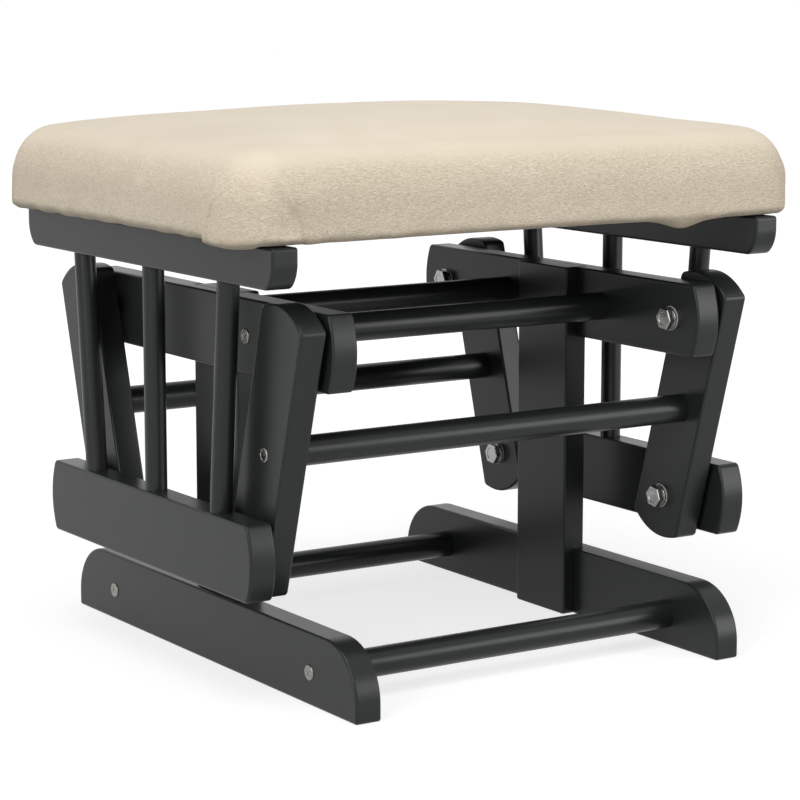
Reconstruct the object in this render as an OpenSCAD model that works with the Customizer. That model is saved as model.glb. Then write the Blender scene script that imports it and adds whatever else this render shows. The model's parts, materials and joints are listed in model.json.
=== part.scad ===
// Glider ottoman: a padded footrest whose seat frame hangs on four swinging arms from a fixed base.
// Millimetres, +Z up. The origin is on the floor below the middle, X runs across, the front is -Y.

/* [Base] */
// Clear width between the feet, and between the head rails above them
base_inner_w = 276; // [250:1:320]
// Length of each foot, front to back
foot_l = 394; // [360:1:440]
// Height of each foot
foot_h = 49; // [42:1:58]
// Thickness of each foot
foot_t = 19; // [18:1:24]
// Radius of the rounded upper corners of a foot
foot_end_r = 38; // [20:1:40]
// Width of each upright post, front to back
post_w = 60; // [44:1:76]
// Thickness of each upright post
post_t = 18; // [16:1:24]
// Depth by which a post is let into its foot and head rail
post_housing = 9; // [5:0.5:11]
// Distance from each end of a foot to the axis of the cross dowel near it
base_dowel_inset = 58; // [42:1:90]
// Height of the axes of those dowels
base_dowel_z = 22; // [17:1:28]

/* [Boards] */
// Width of the head rails, swing arms and lower rails
board_w = 51; // [46:1:58]
// Thickness of the head rails, swing arms, lower rails and top rails
board_t = 19; // [18:0.5:24]
// Length of each head rail between the corners of its ends
head_rail_l = 328; // [318:1:360]
// Length of each lower rail between the corners of its ends
low_rail_l = 278; // [260:1:310]
// Bulge of the rounded ends of head rails and lower rails
rail_end_sag = 6; // [3:0.5:10]
// Diameter of the cross dowels
dowel_d = 20; // [16:1:24]
// Depth of the sockets that hold the ends of the cross dowels
dowel_seat = 8; // [5:0.5:10]
// Distance between the two cross dowels that join the head rails
head_dowel_spread = 118; // [104:1:150]

/* [Swing arms] */
// Distance between the front and rear upper pivots
top_pivot_spread = 280; // [256:1:290]
// Height of the upper pivots
top_pivot_z = 234; // [220:1:246]
// Distance between the front and rear lower pivots
low_pivot_spread = 204; // [180:1:230]
// Height of the lower pivots
low_pivot_z = 99; // [90:1:112]
// Reach of an arm beyond its upper pivot, to the corners of its end
arm_over_top = 23; // [16:1:30]
// Reach of an arm beyond its lower pivot, to the corners of its end
arm_over_low = 22; // [16:1:26]
// Bulge of the rounded ends of an arm
arm_end_sag = 8; // [4:0.5:12]
// Offset of the cross dowel outwards from the centre line of its arms
arm_dowel_out = 2; // [0:0.5:6]

/* [Seat frame] */
// Height of the upper faces of the top rails, which carry the cushion
seat_z = 305; // [296:1:320]
// Length of each top rail
top_rail_l = 350; // [320:1:370]
// Height of each top rail
top_rail_h = 27; // [24:1:30]
// Radius of the rounded lower corners of a top rail
top_rail_end_r = 21; // [12:1:28]
// Height of the straight part of a top rail's end, above its rounding
top_rail_end_straight = 10; // [4:1:14]
// Diameter of the spindles
spindle_d = 15; // [11:0.5:15.5]
// Distance between the outer spindles where they enter the lower rail
spindle_spread_low = 180; // [150:1:196]
// Distance between the outer spindles where they enter the top rail
spindle_spread_top = 206; // [180:1:240]
// Depth of the sockets that hold the ends of the spindles
spindle_seat = 12; // [8:1:15]

/* [Cushion] */
// Overhang of the cushion past the outer faces of the top rails
cushion_over = 23; // [12:1:36]
// Overhang of the cushion past the ends of the top rails
cushion_end_over = 1; // [-8:0.5:14]
// Height of the cushion at its middle
cushion_h = 71; // [62:1:84]
// Radius of the cushion's corners, seen from above
cushion_corner_r = 36; // [24:1:50]
// Radius of the rounding between its sides and its top
cushion_edge_r = 27; // [16:1:32]
// Radius of the tuck where the cover turns under the board
cushion_tuck_r = 6; // [4:0.5:9]
// Rise of the crown from the end of the edge rounding to the middle
cushion_crown = 15; // [8:1:20]
// Depth by which the sides draw in between the corners
cushion_draw = 3; // [0:0.5:6]
// Lean of the sides inwards, from the tuck up to the rounding of the edge
cushion_lean = 3; // [0:0.5:6]
// Thickness of the cover fabric
cover_t = 1.4; // [1:0.1:2]
// Width of the cover's hem under the board
hem_w = 40; // [28:1:60]
// Thickness of the seat board
seat_board_t = 12; // [9:0.5:16]
// Thickness of the dust cover below the board
dust_cover_t = 0.8; // [0.6:0.1:1.2]

/* [Pivots] */
// Gap between a head rail and its arms
top_gap = 4.5; // [3:0.5:7]
// Gap between an arm and its lower rail
low_gap = 4; // [2:0.5:6]
// Diameter of the pivot bolts
bolt_d = 8; // [6:0.5:8.5]
// Width across the flats of a bolt head
bolt_head_af = 13; // [12:0.5:14]
// Height of a bolt head
bolt_head_h = 5.3; // [4:0.1:6]
// Length of bolt held in its threaded insert
bolt_grip = 13; // [10:0.5:14]
// Outer diameter of the washer under a bolt head
washer_d = 17; // [15:0.5:19]
// Thickness of that washer
washer_t = 1.6; // [1.2:0.1:2.2]
// Outer diameter of a ball bearing
bearing_d = 22; // [21:0.5:24]
// Width of a ball bearing
bearing_w = 7; // [6:0.5:8]
// Diameter of the bearing balls
ball_d = 4; // [3.5:0.1:4.2]
// Outer diameter of the nylon bushes
bush_d = 13; // [12.5:0.1:14]
// Thickness of a bush's flange
bush_flange_t = 0.8; // [0.6:0.1:1.4]
// Outer diameter of the threaded inserts
insert_d = 12; // [10.5:0.5:13]
// Radial play of the rear lower bolts in their sleeves
open_play = 4.2; // [4:0.1:4.6]

/* [Screws] */
// Diameter of the round screw heads at the dowel ends
screw_head_d = 10.5; // [9:0.5:12]
// Height of those heads
screw_head_h = 2.6; // [2:0.1:3]
// Height by which they stand out of the wood
screw_proud = 0.8; // [0.2:0.1:1.2]
// Shank diameter of those screws
screw_d = 6; // [4.5:0.5:6.5]
// Length of screw held in a dowel
screw_grip = 34; // [25:1:45]
// Width across the flats of the screws' hexagon sockets
screw_socket_af = 4; // [3:0.5:5]
// Distance between the two screws that hold the cushion on a top rail
seat_screw_spread = 110; // [80:1:130]
// Shank diameter of the seat screws
seat_screw_d = 4.5; // [3.5:0.5:5]
// Head diameter of the seat screws
seat_screw_head_d = 9; // [8:0.5:10]
// Depth of the recess for the head of a seat screw
seat_screw_recess = 8; // [6:0.5:12]

/* [Hidden] */

// Colours as the photograph shows them
paint_colour = "#2f3130";
steel_colour = "#a9abab";
nylon_colour = "#e2e0d8";
fabric_colour = "#d9cbb0";
foam_colour = "#efe6b8";
ply_colour = "#b9945f";
lining_colour = "#1f1f20";

// Smoothness of round pieces
$fn = 64;

// Overrun of cuts past the face that they open
over = 1;
// Radial clearance of a piece that is seated in a socket or hole
fit_gap = 0.1;
// Clearance between faces that slide or roll on each other
run_gap = 0.1;
// Clearance between the end of a piece and the bottom of its blind hole
end_gap = 0.5;

// Faces of the boards on the right-hand side, from the middle outwards
head_in_x = base_inner_w / 2;
head_out_x = head_in_x + board_t;
arm_in_x = head_out_x + top_gap;
arm_out_x = arm_in_x + board_t;
rail_in_x = arm_out_x + low_gap;
rail_mid_x = rail_in_x + board_t / 2;
rail_out_x = rail_in_x + board_t;

// Sizes that follow the boards
base_dowel_spread = foot_l - 2 * base_dowel_inset;
cushion_w = 2 * (rail_out_x + cushion_over);
cushion_d = top_rail_l + 2 * cushion_end_over;

// Levels
head_top_z = top_pivot_z + board_w / 2;
low_rail_top_z = low_pivot_z + board_w / 2;
top_rail_bottom_z = seat_z - top_rail_h;
cover_z = seat_z + dust_cover_t;
board_z = cover_z + cover_t;
board_top_z = board_z + seat_board_t;

// The front arm runs from its upper pivot to its lower one in the YZ plane
arm_top = [-top_pivot_spread / 2, top_pivot_z];
arm_low = [-low_pivot_spread / 2, low_pivot_z];
arm_run = arm_low - arm_top;
arm_l = norm(arm_run);
arm_angle = atan2(arm_run[1], arm_run[0]);
arm_dowel_at = [arm_l / 2, -arm_dowel_out];

// Bearing: the balls run on a pitch circle midway between bolt and outer face
pitch_r = (bolt_d + bearing_d) / 4;
// Wall left in each ring at its groove is a share of the ball's size
race_share = 0.32;
race_in_r = pitch_r - ball_d * race_share;
race_out_r = pitch_r + ball_d * race_share;
ball_count = 7;
// The bush fills the bore between the inner face and the bearing's pocket
bush_l = board_t - bearing_w - end_gap;
spacer_d = 2 * race_in_r - 2 * run_gap;
bolt_below = washer_t + bush_flange_t + run_gap;
head_chamfer_share = 0.12;
insert_l = bolt_grip + end_gap;
sleeve_in_d = bolt_d + 2 * open_play;
sleeve_wall = 1.5;
sleeve_d = sleeve_in_d + 2 * sleeve_wall;
socket_depth_share = 0.7;

// Cushion form: points on each corner arc, points along each side, and rings
corner_steps = 4;
side_steps = 5;
edge_steps = 5;
crown_shares = [0.86, 0.66, 0.42, 0.2];
// How flat the middle of the crown is
crown_power = 2.2;

// Everything in the right half, and its mirror image in the left half
module both_sides() {
    children();
    mirror([1, 0, 0]) children();
}

// The piece on the chosen side: -1 is left, 1 is right
module on_side(side) {
    if (side > 0) children();
    else mirror([1, 0, 0]) children();
}

// The piece at the chosen end: -1 is front, 1 is rear
module at_end(end) {
    if (end < 0) children();
    else mirror([0, 1, 0]) children();
}

// Stands an outline drawn as (y, z) upright, with thickness t outwards from x
module board(x, t) {
    translate([x, 0, 0]) rotate([90, 0, 90]) linear_extrude(t) children();
}

// Points the local z axis outwards along +X, from a place given as x and (y, z)
module outwards(x, at) {
    translate([x, at[0], at[1]]) rotate([0, 90, 0]) children();
}

// Points the local z axis inwards along -X
module inwards(x, at) {
    translate([x, at[0], at[1]]) rotate([0, -90, 0]) children();
}

module tube(outer_d, inner_d, h) {
    difference() {
        cylinder(d = outer_d, h = h);
        translate([0, 0, -over]) cylinder(d = inner_d, h = h + 2 * over);
    }
}

// A strip from x = a to x = b whose ends bulge by sag on one arc each
module barrel_outline(a, b, w, sag) {
    r = (w * w / 4 + sag * sag) / (2 * sag);
    translate([a + sag, -w / 2]) square([b - a - 2 * sag, w]);
    intersection() {
        translate([a - 2 * sag, -w / 2]) square([(b - a) / 2, w]);
        translate([a - sag + r, 0]) circle(r = r, $fn = 4 * $fn);
    }
    intersection() {
        translate([(a + b) / 2 + 2 * sag, -w / 2]) square([(b - a) / 2, w]);
        translate([b + sag - r, 0]) circle(r = r, $fn = 4 * $fn);
    }
}

// Screw with a round head and hexagon socket, head outwards, along +z into the wood
module cross_screw(wall) {
    difference() {
        union() {
            translate([0, 0, -screw_proud]) cylinder(d = screw_head_d, h = screw_head_h);
            cylinder(d = screw_d, h = wall + screw_grip);
        }
        translate([0, 0, -screw_proud - over])
            cylinder(d = screw_socket_af / cos(30), h = screw_head_h * socket_depth_share + over, $fn = 6);
    }
}

// Hole for that screw in a board, with the seat of its head
module cross_screw_bore() {
    translate([0, 0, -over])
        cylinder(d = screw_head_d + 2 * fit_gap, h = screw_head_h - screw_proud + over);
    cylinder(d = screw_d + 2 * fit_gap, h = board_t + foot_t);
}

// Cross dowel between boards whose inner faces lie at x = -half and x = half
module cross_dowel(half, at) {
    l = half + dowel_seat - end_gap;
    difference() {
        outwards(-l, at) cylinder(d = dowel_d, h = 2 * l);
        both_sides() inwards(l + over, at)
            cylinder(d = screw_d + 2 * fit_gap, h = screw_grip + over + end_gap);
    }
}

// Socket for the end of a cross dowel, cut outwards into a board from its inner face
module dowel_socket(x, at) {
    outwards(x - over, at) cylinder(d = dowel_d + 2 * fit_gap, h = dowel_seat + over);
}

module post_space(x_from, x_to) {
    translate([x_from, -post_w / 2, -over]) cube([x_to - x_from, post_w, head_top_z + 2 * over]);
}

// Base

base_dowel_at = [-base_dowel_spread / 2, base_dowel_z];
head_dowel_at = [-head_dowel_spread / 2, top_pivot_z];

module foot_outline() {
    intersection() {
        translate([-foot_l / 2, 0]) square([foot_l, foot_h]);
        union() {
            translate([-foot_l / 2, 0]) square([foot_l, foot_h - foot_end_r]);
            translate([foot_end_r - foot_l / 2, 0]) square([foot_l - 2 * foot_end_r, foot_h]);
            for (end = [-1, 1])
                translate([end * (foot_l / 2 - foot_end_r), foot_h - foot_end_r])
                    circle(r = foot_end_r, $fn = 4 * $fn);
        }
    }
}

module foot(side) {
    color(paint_colour) on_side(side) difference() {
        board(head_in_x, foot_t) foot_outline();
        post_space(head_in_x - over, head_in_x + post_housing);
        for (end = [-1, 1]) at_end(end) {
            dowel_socket(head_in_x, base_dowel_at);
            inwards(head_in_x + foot_t, base_dowel_at) cross_screw_bore();
        }
    }
}

module post(side) {
    color(paint_colour) on_side(side)
        translate([head_in_x + post_housing - post_t, -post_w / 2, 0]) cube([post_t, post_w, head_top_z]);
}

module head_rail(side) {
    color(paint_colour) on_side(side) difference() {
        board(head_in_x, board_t) translate([0, top_pivot_z])
            barrel_outline(-head_rail_l / 2, head_rail_l / 2, board_w, rail_end_sag);
        post_space(head_in_x - over, head_in_x + post_housing);
        for (end = [-1, 1]) at_end(end) {
            dowel_socket(head_in_x, head_dowel_at);
            inwards(head_out_x, head_dowel_at) cross_screw_bore();
            outwards(head_in_x, arm_top) bearing_bore();
        }
    }
}

module base_dowel(end) {
    color(paint_colour) at_end(end) cross_dowel(head_in_x, base_dowel_at);
}

module head_dowel(end) {
    color(paint_colour) at_end(end) cross_dowel(head_in_x, head_dowel_at);
}

module foot_screws() {
    color(steel_colour) for (end = [-1, 1]) at_end(end) both_sides()
        inwards(head_in_x + foot_t, base_dowel_at) cross_screw(foot_t - dowel_seat);
}

module head_screws() {
    color(steel_colour) for (end = [-1, 1]) at_end(end) both_sides()
        inwards(head_out_x, head_dowel_at) cross_screw(board_t - dowel_seat);
}

// Pivot pieces, drawn along +z from the inner face of the board that holds the bearing

// Through bore for a bush, opening into the pocket for a bearing at the outer face
module bearing_bore() {
    translate([0, 0, -over]) cylinder(d = bush_d + 2 * fit_gap, h = board_t + 2 * over);
    translate([0, 0, board_t - bearing_w]) cylinder(d = bearing_d + 2 * fit_gap, h = bearing_w + over);
}

// Blind bore for a threaded insert, from the inner face of the outer board
module insert_bore(d, l) {
    translate([0, 0, -over]) cylinder(d = d + 2 * fit_gap, h = l + over);
}

module bearing_outer_ring() {
    translate([0, 0, board_t - bearing_w]) rotate_extrude() difference() {
        translate([race_out_r, 0]) square([bearing_d / 2 - race_out_r, bearing_w]);
        translate([pitch_r, bearing_w / 2]) circle(d = ball_d + 2 * run_gap);
    }
}

module bearing_core() {
    translate([0, 0, board_t - bearing_w]) {
        rotate_extrude() difference() {
            translate([bolt_d / 2 + fit_gap, 0])
                square([race_in_r - bolt_d / 2 - fit_gap, bearing_w]);
            translate([pitch_r, bearing_w / 2]) circle(d = ball_d + 2 * run_gap);
        }
        for (i = [0 : ball_count - 1]) rotate([0, 0, i * 360 / ball_count])
            translate([pitch_r, 0, bearing_w / 2]) sphere(d = ball_d);
    }
}

module bush() {
    difference() {
        union() {
            cylinder(d = bush_d, h = bush_l);
            translate([0, 0, -bush_flange_t]) cylinder(d = washer_d, h = bush_flange_t);
        }
        translate([0, 0, -bush_flange_t - over])
            cylinder(d = bolt_d + 2 * run_gap, h = bush_l + bush_flange_t + 2 * over);
    }
}

// Hexagon bolt whose head is chamfered by a cone, long enough to grip its insert
module pivot_bolt(gap) {
    corner_d = bolt_head_af / cos(30);
    under_head = bolt_below + bolt_head_h / 2;
    union() {
        translate([0, 0, -under_head])
            cylinder(d = bolt_d, h = under_head + board_t + gap + bolt_grip);
        translate([0, 0, -bolt_below - bolt_head_h]) intersection() {
            rotate([0, 0, 30]) cylinder(d = corner_d, h = bolt_head_h, $fn = 6);
            cylinder(d1 = bolt_head_af * (1 - head_chamfer_share / 2),
                     d2 = corner_d * (1 + 4 * head_chamfer_share), h = bolt_head_h);
        }
    }
}

// Washer under the bolt head, and the spacer that keeps the two boards apart
module washer_and_spacer(gap) {
    translate([0, 0, -bolt_below]) tube(washer_d, bolt_d + 2 * fit_gap, washer_t);
    translate([0, 0, board_t]) tube(spacer_d, bolt_d + 2 * fit_gap, gap);
}

module insert() {
    tube(insert_d, bolt_d + 2 * fit_gap, insert_l);
}

// Upper pivots: the bearing is in the head rail and the insert in the arm
module at_top_pivots(end) {
    at_end(end) both_sides() outwards(head_in_x, arm_top) children();
}

// Lower pivots: the bearing is in the arm and the insert in the lower rail
module at_low_pivots(end) {
    at_end(end) both_sides() outwards(arm_in_x, arm_low) children();
}

module top_bearing_rings() {
    color(steel_colour) for (end = [-1, 1]) at_top_pivots(end) bearing_outer_ring();
}

module top_bushes() {
    color(nylon_colour) for (end = [-1, 1]) at_top_pivots(end) bush();
}

module top_bolts(end) {
    color(steel_colour) at_top_pivots(end) pivot_bolt(top_gap);
}

module top_washers(end) {
    color(steel_colour) at_top_pivots(end) washer_and_spacer(top_gap);
}

module top_bearing_cores(end) {
    color(steel_colour) at_top_pivots(end) bearing_core();
}

module top_inserts(end) {
    color(steel_colour) at_end(end) both_sides() outwards(arm_in_x, arm_top) insert();
}

module low_bearing_rings(end) {
    color(steel_colour) at_low_pivots(end) bearing_outer_ring();
}

module low_bushes(end) {
    color(nylon_colour) at_low_pivots(end) bush();
}

module low_bolts(end) {
    color(steel_colour) at_low_pivots(end) pivot_bolt(low_gap);
}

// The rear spacers slide on the lower rail, so they stop short of it
module low_washers(end) {
    color(steel_colour) at_low_pivots(end) washer_and_spacer(end < 0 ? low_gap : low_gap - run_gap);
}

module low_bearing_cores(end) {
    color(steel_colour) at_low_pivots(end) bearing_core();
}

module low_inserts_front() {
    color(steel_colour) at_end(-1) both_sides() outwards(rail_in_x, arm_low) insert();
}

module low_sleeves_rear() {
    color(steel_colour) at_end(1) both_sides() outwards(rail_in_x, arm_low)
        tube(sleeve_d, sleeve_in_d, insert_l);
}

// Swing arms

// Puts a piece drawn along +x, from its upper pivot and +z outwards, in the place of the front arm
module along_arm() {
    translate([arm_in_x, arm_top[0], arm_top[1]]) rotate([90, 0, 90]) rotate([0, 0, arm_angle])
        children();
}

// Place of the cross dowel in (y, z)
arm_dowel_yz = arm_top + [
    arm_dowel_at[0] * cos(arm_angle) - arm_dowel_at[1] * sin(arm_angle),
    arm_dowel_at[0] * sin(arm_angle) + arm_dowel_at[1] * cos(arm_angle)
];

module arm(side, end) {
    color(paint_colour) at_end(end) on_side(side) along_arm() difference() {
        linear_extrude(board_t)
            barrel_outline(-arm_over_top, arm_l + arm_over_low, board_w, arm_end_sag);
        insert_bore(insert_d, insert_l + end_gap);
        translate([arm_l, 0, 0]) bearing_bore();
        translate([arm_dowel_at[0], arm_dowel_at[1], 0]) {
            translate([0, 0, -over]) cylinder(d = dowel_d + 2 * fit_gap, h = dowel_seat + over);
            translate([0, 0, board_t]) rotate([180, 0, 0]) cross_screw_bore();
        }
    }
}

module arm_dowel(end) {
    color(paint_colour) at_end(end) cross_dowel(arm_in_x, arm_dowel_yz);
}

module arm_screws(end) {
    color(steel_colour) at_end(end) both_sides()
        inwards(arm_out_x, arm_dowel_yz) cross_screw(board_t - dowel_seat);
}

// Seat frame

// Spindle or its socket: a straight rod, the outer ones splaying outwards at the top
module spindle_rod(place, d, seat) {
    low_y = place * spindle_spread_low / 2;
    top_y = place * spindle_spread_top / 2;
    rise = top_rail_bottom_z - low_rail_top_z;
    splay = atan2(top_y - low_y, rise);
    rod_l = norm([top_y - low_y, rise]);
    translate([rail_mid_x, low_y, low_rail_top_z]) rotate([-splay, 0, 0])
        translate([0, 0, -seat]) cylinder(d = d, h = rod_l + 2 * seat);
}

module spindle(side, place) {
    color(paint_colour) on_side(side) spindle_rod(place, spindle_d, spindle_seat - end_gap);
}

module spindle_sockets() {
    for (place = [-1, 0, 1]) spindle_rod(place, spindle_d + 2 * fit_gap, spindle_seat);
}

module low_rail(side) {
    color(paint_colour) on_side(side) difference() {
        board(rail_in_x, board_t) translate([0, low_pivot_z])
            barrel_outline(-low_rail_l / 2, low_rail_l / 2, board_w, rail_end_sag);
        spindle_sockets();
        outwards(rail_in_x, arm_low) insert_bore(insert_d, insert_l + end_gap);
        at_end(1) outwards(rail_in_x, arm_low) insert_bore(sleeve_d, insert_l + end_gap);
    }
}

module top_rail_outline() {
    straight_z = top_rail_h - top_rail_end_straight;
    intersection() {
        translate([-top_rail_l / 2, 0]) square([top_rail_l, top_rail_h]);
        union() {
            translate([-top_rail_l / 2, straight_z]) square([top_rail_l, top_rail_end_straight]);
            translate([top_rail_end_r - top_rail_l / 2, 0])
                square([top_rail_l - 2 * top_rail_end_r, top_rail_h]);
            for (end = [-1, 1])
                translate([end * (top_rail_l / 2 - top_rail_end_r), straight_z])
                    circle(r = top_rail_end_r, $fn = 4 * $fn);
        }
    }
}

module top_rail(side) {
    color(paint_colour) on_side(side) difference() {
        board(rail_in_x, board_t) translate([0, top_rail_bottom_z]) top_rail_outline();
        spindle_sockets();
        at_seat_screws() {
            translate([0, 0, -over])
                cylinder(d = seat_screw_head_d + 2 * fit_gap, h = seat_screw_recess + over);
            cylinder(d = seat_screw_d + 2 * fit_gap, h = top_rail_h + over);
        }
    }
}

// Places of the seat screws on the right-hand rail, +z up from its underside
module at_seat_screws() {
    for (end = [-1, 1])
        translate([rail_mid_x, end * seat_screw_spread / 2, top_rail_bottom_z]) children();
}

seat_screw_bite_share = 0.75;
seat_screw_top_z = board_z + seat_board_t * seat_screw_bite_share;
seat_screw_head_h = seat_screw_d * 0.55;

module seat_screws() {
    color(steel_colour) both_sides() at_seat_screws() {
        translate([0, 0, seat_screw_recess])
            cylinder(d = seat_screw_d, h = seat_screw_top_z - top_rail_bottom_z - seat_screw_recess);
        translate([0, 0, seat_screw_recess - seat_screw_head_h])
            cylinder(d = seat_screw_head_d, h = seat_screw_head_h);
    }
}

// Hole for the seat screws through the board, hem and dust cover
module seat_screw_holes() {
    both_sides() at_seat_screws() translate([0, 0, top_rail_h - over])
        cylinder(d = seat_screw_d + 2 * fit_gap, h = seat_screw_top_z - seat_z + over + end_gap);
}

// Cushion

// Rounded rectangle in steps, anticlockwise, whose sides draw in between the corners
function draw_in(t) = cushion_draw * sin(180 * t) * sin(180 * t);
function plan(hw, hd, r) = [
    for (corner = [0 : 3]) each concat(
        [for (i = [0 : corner_steps]) corner_point(corner, hw, hd, r, 90 * i / corner_steps)],
        [for (i = [1 : side_steps]) side_point(corner, hw, hd, r, i / (side_steps + 1))])
];
corner_signs = [[1, 1], [-1, 1], [-1, -1], [1, -1]];
function corner_point(corner, hw, hd, r, a) = [
    corner_signs[corner][0] * (hw - r) + r * cos(a + 90 * corner),
    corner_signs[corner][1] * (hd - r) + r * sin(a + 90 * corner)
];
function side_point(corner, hw, hd, r, t) =
    let (a = corner_point(corner, hw, hd, r, 90),
         b = corner_point((corner + 1) % 4, hw, hd, r, 0),
         inward = [-cos(90 * corner + 90), -sin(90 * corner + 90)])
    a + (b - a) * t + inward * draw_in(t);
plan_count = 4 * (corner_steps + 1 + side_steps);

// One ring of the cushion: the plan drawn in by inset, at height z
function ring(inset, z) = [
    for (p = plan(cushion_w / 2 - inset, cushion_d / 2 - inset, cushion_corner_r - inset / 2))
        [p[0], p[1], z]
];

// Height of the crown over the end of the edge rounding: a dome that is level on that rectangle
function fall(t) = 1 - pow(min(abs(t), 1), crown_power);
crown_inset = cushion_lean + cushion_edge_r;
function crown_rise(x, y) = cushion_crown * fall(x / (cushion_w / 2 - crown_inset))
    * fall(y / (cushion_d / 2 - crown_inset));

// Closed cushion skin, moved inwards everywhere by skin
module cushion_form(skin) {
    bottom = cover_z + skin;
    tuck_r = cushion_tuck_r - skin;
    edge_r = cushion_edge_r - skin;
    edge_z = cover_z + cushion_h - cushion_crown - cushion_edge_r;
    rings = concat(
        [for (i = [0 : 2]) ring(skin + tuck_r * (1 - sin(45 * i)), bottom + tuck_r * (1 - cos(45 * i)))],
        [for (i = [0 : edge_steps]) let (a = 90 * i / edge_steps)
            ring(skin + cushion_lean + edge_r * (1 - cos(a)), edge_z + edge_r * sin(a))],
        [for (s = crown_shares) [for (p = ring(skin + cushion_lean + edge_r, edge_z + edge_r))
            [p[0] * s, p[1] * s, p[2] + crown_rise(p[0] * s, p[1] * s)]]]
    );
    n = plan_count;
    last = len(rings) - 1;
    top_point = [0, 0, edge_z + edge_r + cushion_crown];
    points = concat([for (r = rings) each r], [[0, 0, bottom], top_point]);
    faces = concat(
        [for (k = [0 : last - 1]) each [for (i = [0 : n - 1]) let (j = (i + 1) % n)
            each [[k * n + i, (k + 1) * n + j, k * n + j], [k * n + i, (k + 1) * n + i, (k + 1) * n + j]]]],
        [for (i = [0 : n - 1]) [n * (last + 1), i, (i + 1) % n]],
        [for (i = [0 : n - 1]) [n * (last + 1) + 1, last * n + (i + 1) % n, last * n + i]]
    );
    polyhedron(points, faces);
}

// Rounded plate that keeps within the cushion's drawn-in sides
module plate(inset, z, t) {
    hw = cushion_w / 2 - inset;
    hd = cushion_d / 2 - inset;
    r = cushion_corner_r - inset / 2;
    translate([0, 0, z]) linear_extrude(t) union() {
        square([2 * hw, 2 * (hd - r)], center = true);
        square([2 * (hw - r), 2 * hd], center = true);
        for (sx = [-1, 1], sy = [-1, 1]) translate([sx * (hw - r), sy * (hd - r)]) circle(r = r);
    }
}

board_inset = cushion_draw + cushion_tuck_r + cover_t;
dust_cover_inset = board_inset + cushion_tuck_r;

module seat_board() {
    color(ply_colour) difference() {
        plate(board_inset, board_z, seat_board_t);
        seat_screw_holes();
    }
}

module foam_pad() {
    color(foam_colour) difference() {
        cushion_form(cover_t + fit_gap);
        plate(board_inset - fit_gap, seat_z, board_top_z - seat_z);
    }
}

module seat_cover() {
    color(fabric_colour) difference() {
        cushion_form(0);
        cushion_form(cover_t);
        plate(hem_w, seat_z, board_z + cover_t - seat_z);
        seat_screw_holes();
    }
}

module dust_cover() {
    color(lining_colour) difference() {
        plate(dust_cover_inset, seat_z, dust_cover_t);
        seat_screw_holes();
    }
}

foot(-1);  // foot_left
foot(1);  // foot_right
post(-1);  // post_left
post(1);  // post_right
head_rail(-1);  // head_rail_left
head_rail(1);  // head_rail_right
base_dowel(-1);  // base_dowel_front
base_dowel(1);  // base_dowel_rear
head_dowel(-1);  // head_dowel_front
head_dowel(1);  // head_dowel_rear
foot_screws();
head_screws();
top_bearing_rings();
top_bushes();
arm(-1, -1);  // arm_front_left
arm(1, -1);  // arm_front_right
arm_dowel(-1);  // arm_dowel_front
arm_screws(-1);  // arm_screws_front
top_bolts(-1);  // top_bolts_front
top_washers(-1);  // top_washers_front
top_bearing_cores(-1);  // top_bearing_cores_front
top_inserts(-1);  // top_inserts_front
low_bearing_rings(-1);  // low_bearing_rings_front
low_bushes(-1);  // low_bushes_front
arm(-1, 1);  // arm_rear_left
arm(1, 1);  // arm_rear_right
arm_dowel(1);  // arm_dowel_rear
arm_screws(1);  // arm_screws_rear
top_bolts(1);  // top_bolts_rear
top_washers(1);  // top_washers_rear
top_bearing_cores(1);  // top_bearing_cores_rear
top_inserts(1);  // top_inserts_rear
low_bearing_rings(1);  // low_bearing_rings_rear
low_bushes(1);  // low_bushes_rear
low_bolts(1);  // low_bolts_rear
low_washers(1);  // low_washers_rear
low_bearing_cores(1);  // low_bearing_cores_rear
low_rail(-1);  // low_rail_left
low_rail(1);  // low_rail_right
spindle(-1, -1);  // spindle_left_front
spindle(-1, 0);  // spindle_left_middle
spindle(-1, 1);  // spindle_left_rear
spindle(1, -1);  // spindle_right_front
spindle(1, 0);  // spindle_right_middle
spindle(1, 1);  // spindle_right_rear
top_rail(-1);  // top_rail_left
top_rail(1);  // top_rail_right
low_bolts(-1);  // low_bolts_front
low_washers(-1);  // low_washers_front
low_bearing_cores(-1);  // low_bearing_cores_front
low_inserts_front();
low_sleeves_rear();
seat_board();
foam_pad();
seat_cover();
dust_cover();
seat_screws();
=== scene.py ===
"""Glider ottoman: the finished look of a padded footrest that swings on four arms.

Everything is in metres, +Z up, with the floor at z = 0 and the front at -Y.
"""

import json
import math

import bpy
import numpy as np
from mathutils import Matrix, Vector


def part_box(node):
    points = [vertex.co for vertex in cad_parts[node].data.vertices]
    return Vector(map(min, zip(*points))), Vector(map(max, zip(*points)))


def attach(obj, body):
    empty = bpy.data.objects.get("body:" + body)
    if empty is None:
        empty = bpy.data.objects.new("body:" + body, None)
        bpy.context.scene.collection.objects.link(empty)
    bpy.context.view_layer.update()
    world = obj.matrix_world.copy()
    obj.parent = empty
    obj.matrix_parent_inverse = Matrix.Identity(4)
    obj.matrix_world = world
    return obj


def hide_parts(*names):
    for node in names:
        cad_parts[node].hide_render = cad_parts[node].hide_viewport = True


bl_info = {
    "name": "Glider Ottoman",
    "version": (1, 0, 0),
    "blender": (4, 5, 0),
    "location": "3D View > Sidebar > Ottoman",
    "description": "Builds a glider ottoman with painted boards, steel pivots and a padded seat",
    "category": "Object",
}

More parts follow.
